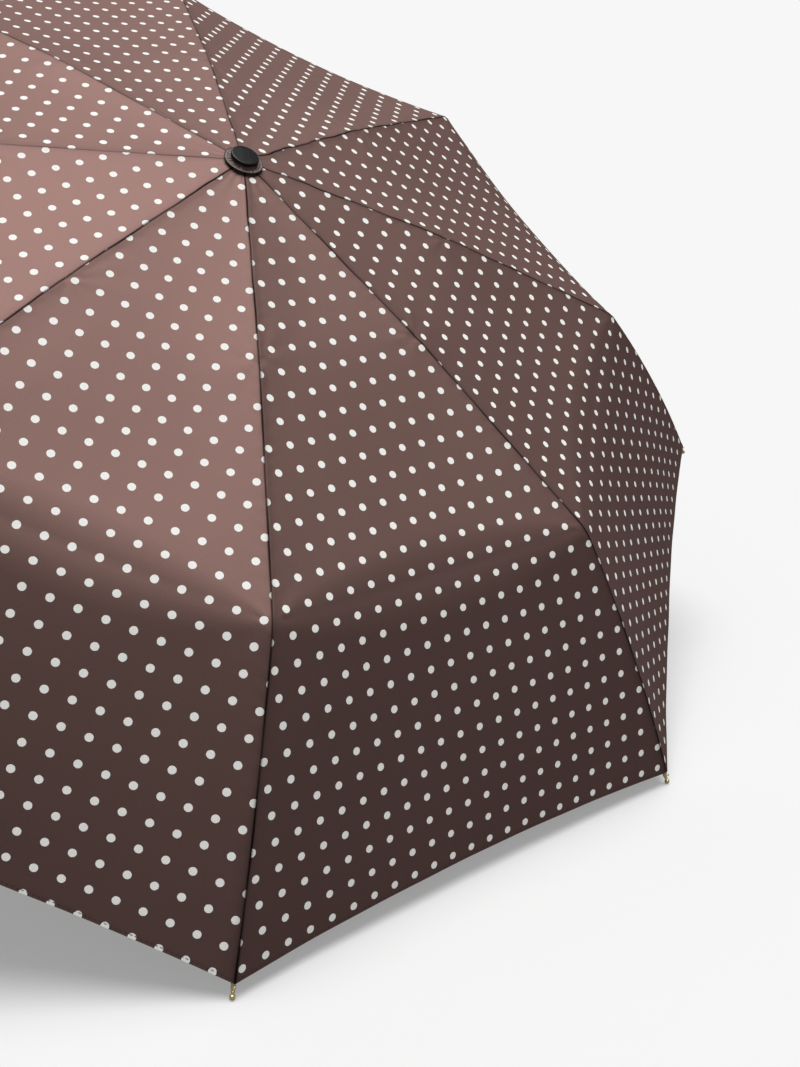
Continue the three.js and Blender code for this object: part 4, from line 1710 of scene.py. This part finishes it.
@dataclass
class Studio:
    """A pale floor, soft light from above and the camera.

    Attributes:
        camera_place: where the camera stands, in metres.
        azimuth: its bearing about the object, in degrees.
        elevation: its height over the level, in degrees.
        lens: its lens, in millimetres for a 36 mm sensor.
        light_from: the direction that the broad light comes from.
        light_width: how wide it looks, in degrees.
        light_power: how strongly it lights.
        room_power: how strongly the room around lights.
        room_gleam: how strongly glossy things mirror the room, whose walls are flagged off in black.
        floor_size: the floor's width, in metres.
        floor_colour: the floor's paint.
        floor_glow: how much light the floor is given from below, as a light table is.
        floor_bounce: how strongly the floor lights what stands on it, between the black flags.
        floor_gleam: how strongly glossy things mirror the floor.
        sky: what is seen past the floor's end.
    """

    camera_place: tuple = (-0.4919, -0.8804, 0.4834)
    azimuth: float = -39.39
    elevation: float = 19.46
    lens: float = 44.5
    light_from: tuple = (0.05, 0.0, 1.0)
    light_width: float = 46.0
    light_power: float = 3.5
    room_power: float = 0.3
    room_gleam: float = 0.06
    floor_size: float = 400.0
    floor_colour: tuple = (0.46, 0.46, 0.46, 1)
    floor_glow: float = 0.28
    floor_bounce: tuple = (0.52, 0.52, 0.52, 1)
    floor_gleam: tuple = (0.08, 0.08, 0.08, 1)
    sky: tuple = (0.93, 0.93, 0.93, 1)

    def _floor(self) -> None:
        """A wide pale floor."""
        bpy.ops.object.select_all(action="DESELECT")
        bpy.ops.mesh.primitive_plane_add(size=self.floor_size, location=(0, 0, -0.0002))
        floor = bpy.context.active_object
        floor.name = "floor"
        material, nodes, shader = new_material("floor_paint", self.floor_colour[:3])
        path = nodes.add("ShaderNodeLightPath")
        unseen = nodes.mix(path.outputs["Is Glossy Ray"], self.floor_bounce, self.floor_gleam)
        paint = nodes.mix(path.outputs["Is Camera Ray"], unseen, self.floor_colour)
        nodes.put(shader, "Base Color", paint)
        nodes.put(shader, "Roughness", 1.0)
        nodes.put(shader, "Specular IOR Level", 0.0)
        nodes.put(shader, "Emission Color", (1, 1, 1, 1))
        glow = nodes.ramp(path.outputs["Is Camera Ray"], 0, 1, 0, self.floor_glow)
        nodes.put(shader, "Emission Strength", glow)
        floor.data.materials.append(material)

    def _overhead(self) -> None:
        """One broad even light from a high soft ceiling."""
        light = bpy.data.lights.new("ceiling", "SUN")
        light.energy, light.angle = self.light_power, math.radians(self.light_width)
        lamp = bpy.data.objects.new("ceiling", light)
        lamp.rotation_euler = Vector(self.light_from).to_track_quat("Z", "Y").to_euler()
        bpy.context.scene.collection.objects.link(lamp)

    def _world(self) -> None:
        """An even room, which the camera sees brighter than it lights and glossy things see darker."""
        world = bpy.data.worlds.new("room")
        bpy.context.scene.world = world
        world.use_nodes = True
        nodes = Nodes(world.node_tree)
        world.node_tree.nodes.clear()
        seen = nodes.add("ShaderNodeLightPath").outputs["Is Camera Ray"]
        mirrored = nodes.add("ShaderNodeLightPath").outputs["Is Glossy Ray"]
        power = nodes.ramp(mirrored, 0, 1, self.room_power, self.room_gleam)
        lit = nodes.add("ShaderNodeBackground", in_Color=(1, 1, 1, 1), in_Strength=power)
        shown = nodes.add("ShaderNodeBackground", in_Color=self.sky, in_Strength=1.0)
        mixed = nodes.add("ShaderNodeMixShader", in_0=seen, in_1=lit.outputs[0], in_2=shown.outputs[0])
        nodes.add("ShaderNodeOutputWorld", in_Surface=mixed.outputs[0])

    def _camera(self) -> None:
        """The camera, level and unshifted."""
        data = bpy.data.cameras.new("camera")
        data.lens = self.lens
        data.sensor_width = 36
        data.clip_start, data.clip_end = 0.01, 100
        camera = bpy.data.objects.new("camera", data)
        camera.location = self.camera_place
        camera.rotation_euler = Euler((math.radians(90 - self.elevation), 0, math.radians(self.azimuth)))
        bpy.context.scene.collection.objects.link(camera)
        bpy.context.scene.camera = camera

    def build(self) -> None:
        """Sets up the floor, the light and the camera."""
        self._floor()
        self._world()
        self._overhead()
        self._camera()
        bpy.context.scene.view_settings.view_transform = "Standard"


# ---------------------------------------------------------------- the whole umbrella


def main() -> None:
    """Builds the umbrella's sub-assemblies in order."""
    logging.basicConfig(level=logging.WARNING, format="%(name)s: %(message)s")
    Studio().build()
    placement = Placement.from_joints()
    wardrobe = Wardrobe()
    canopy = Canopy(placement)
    canopy.build(wardrobe)
    HemThreads(canopy).build(wardrobe)
    Hub(placement).build(wardrobe)
    RibTips(placement).build(wardrobe)
    Ribs(placement).build(wardrobe)
    Shaft(placement).build(wardrobe)
    ClosingStrap().build(wardrobe)


if __name__ == "__main__":
    main()
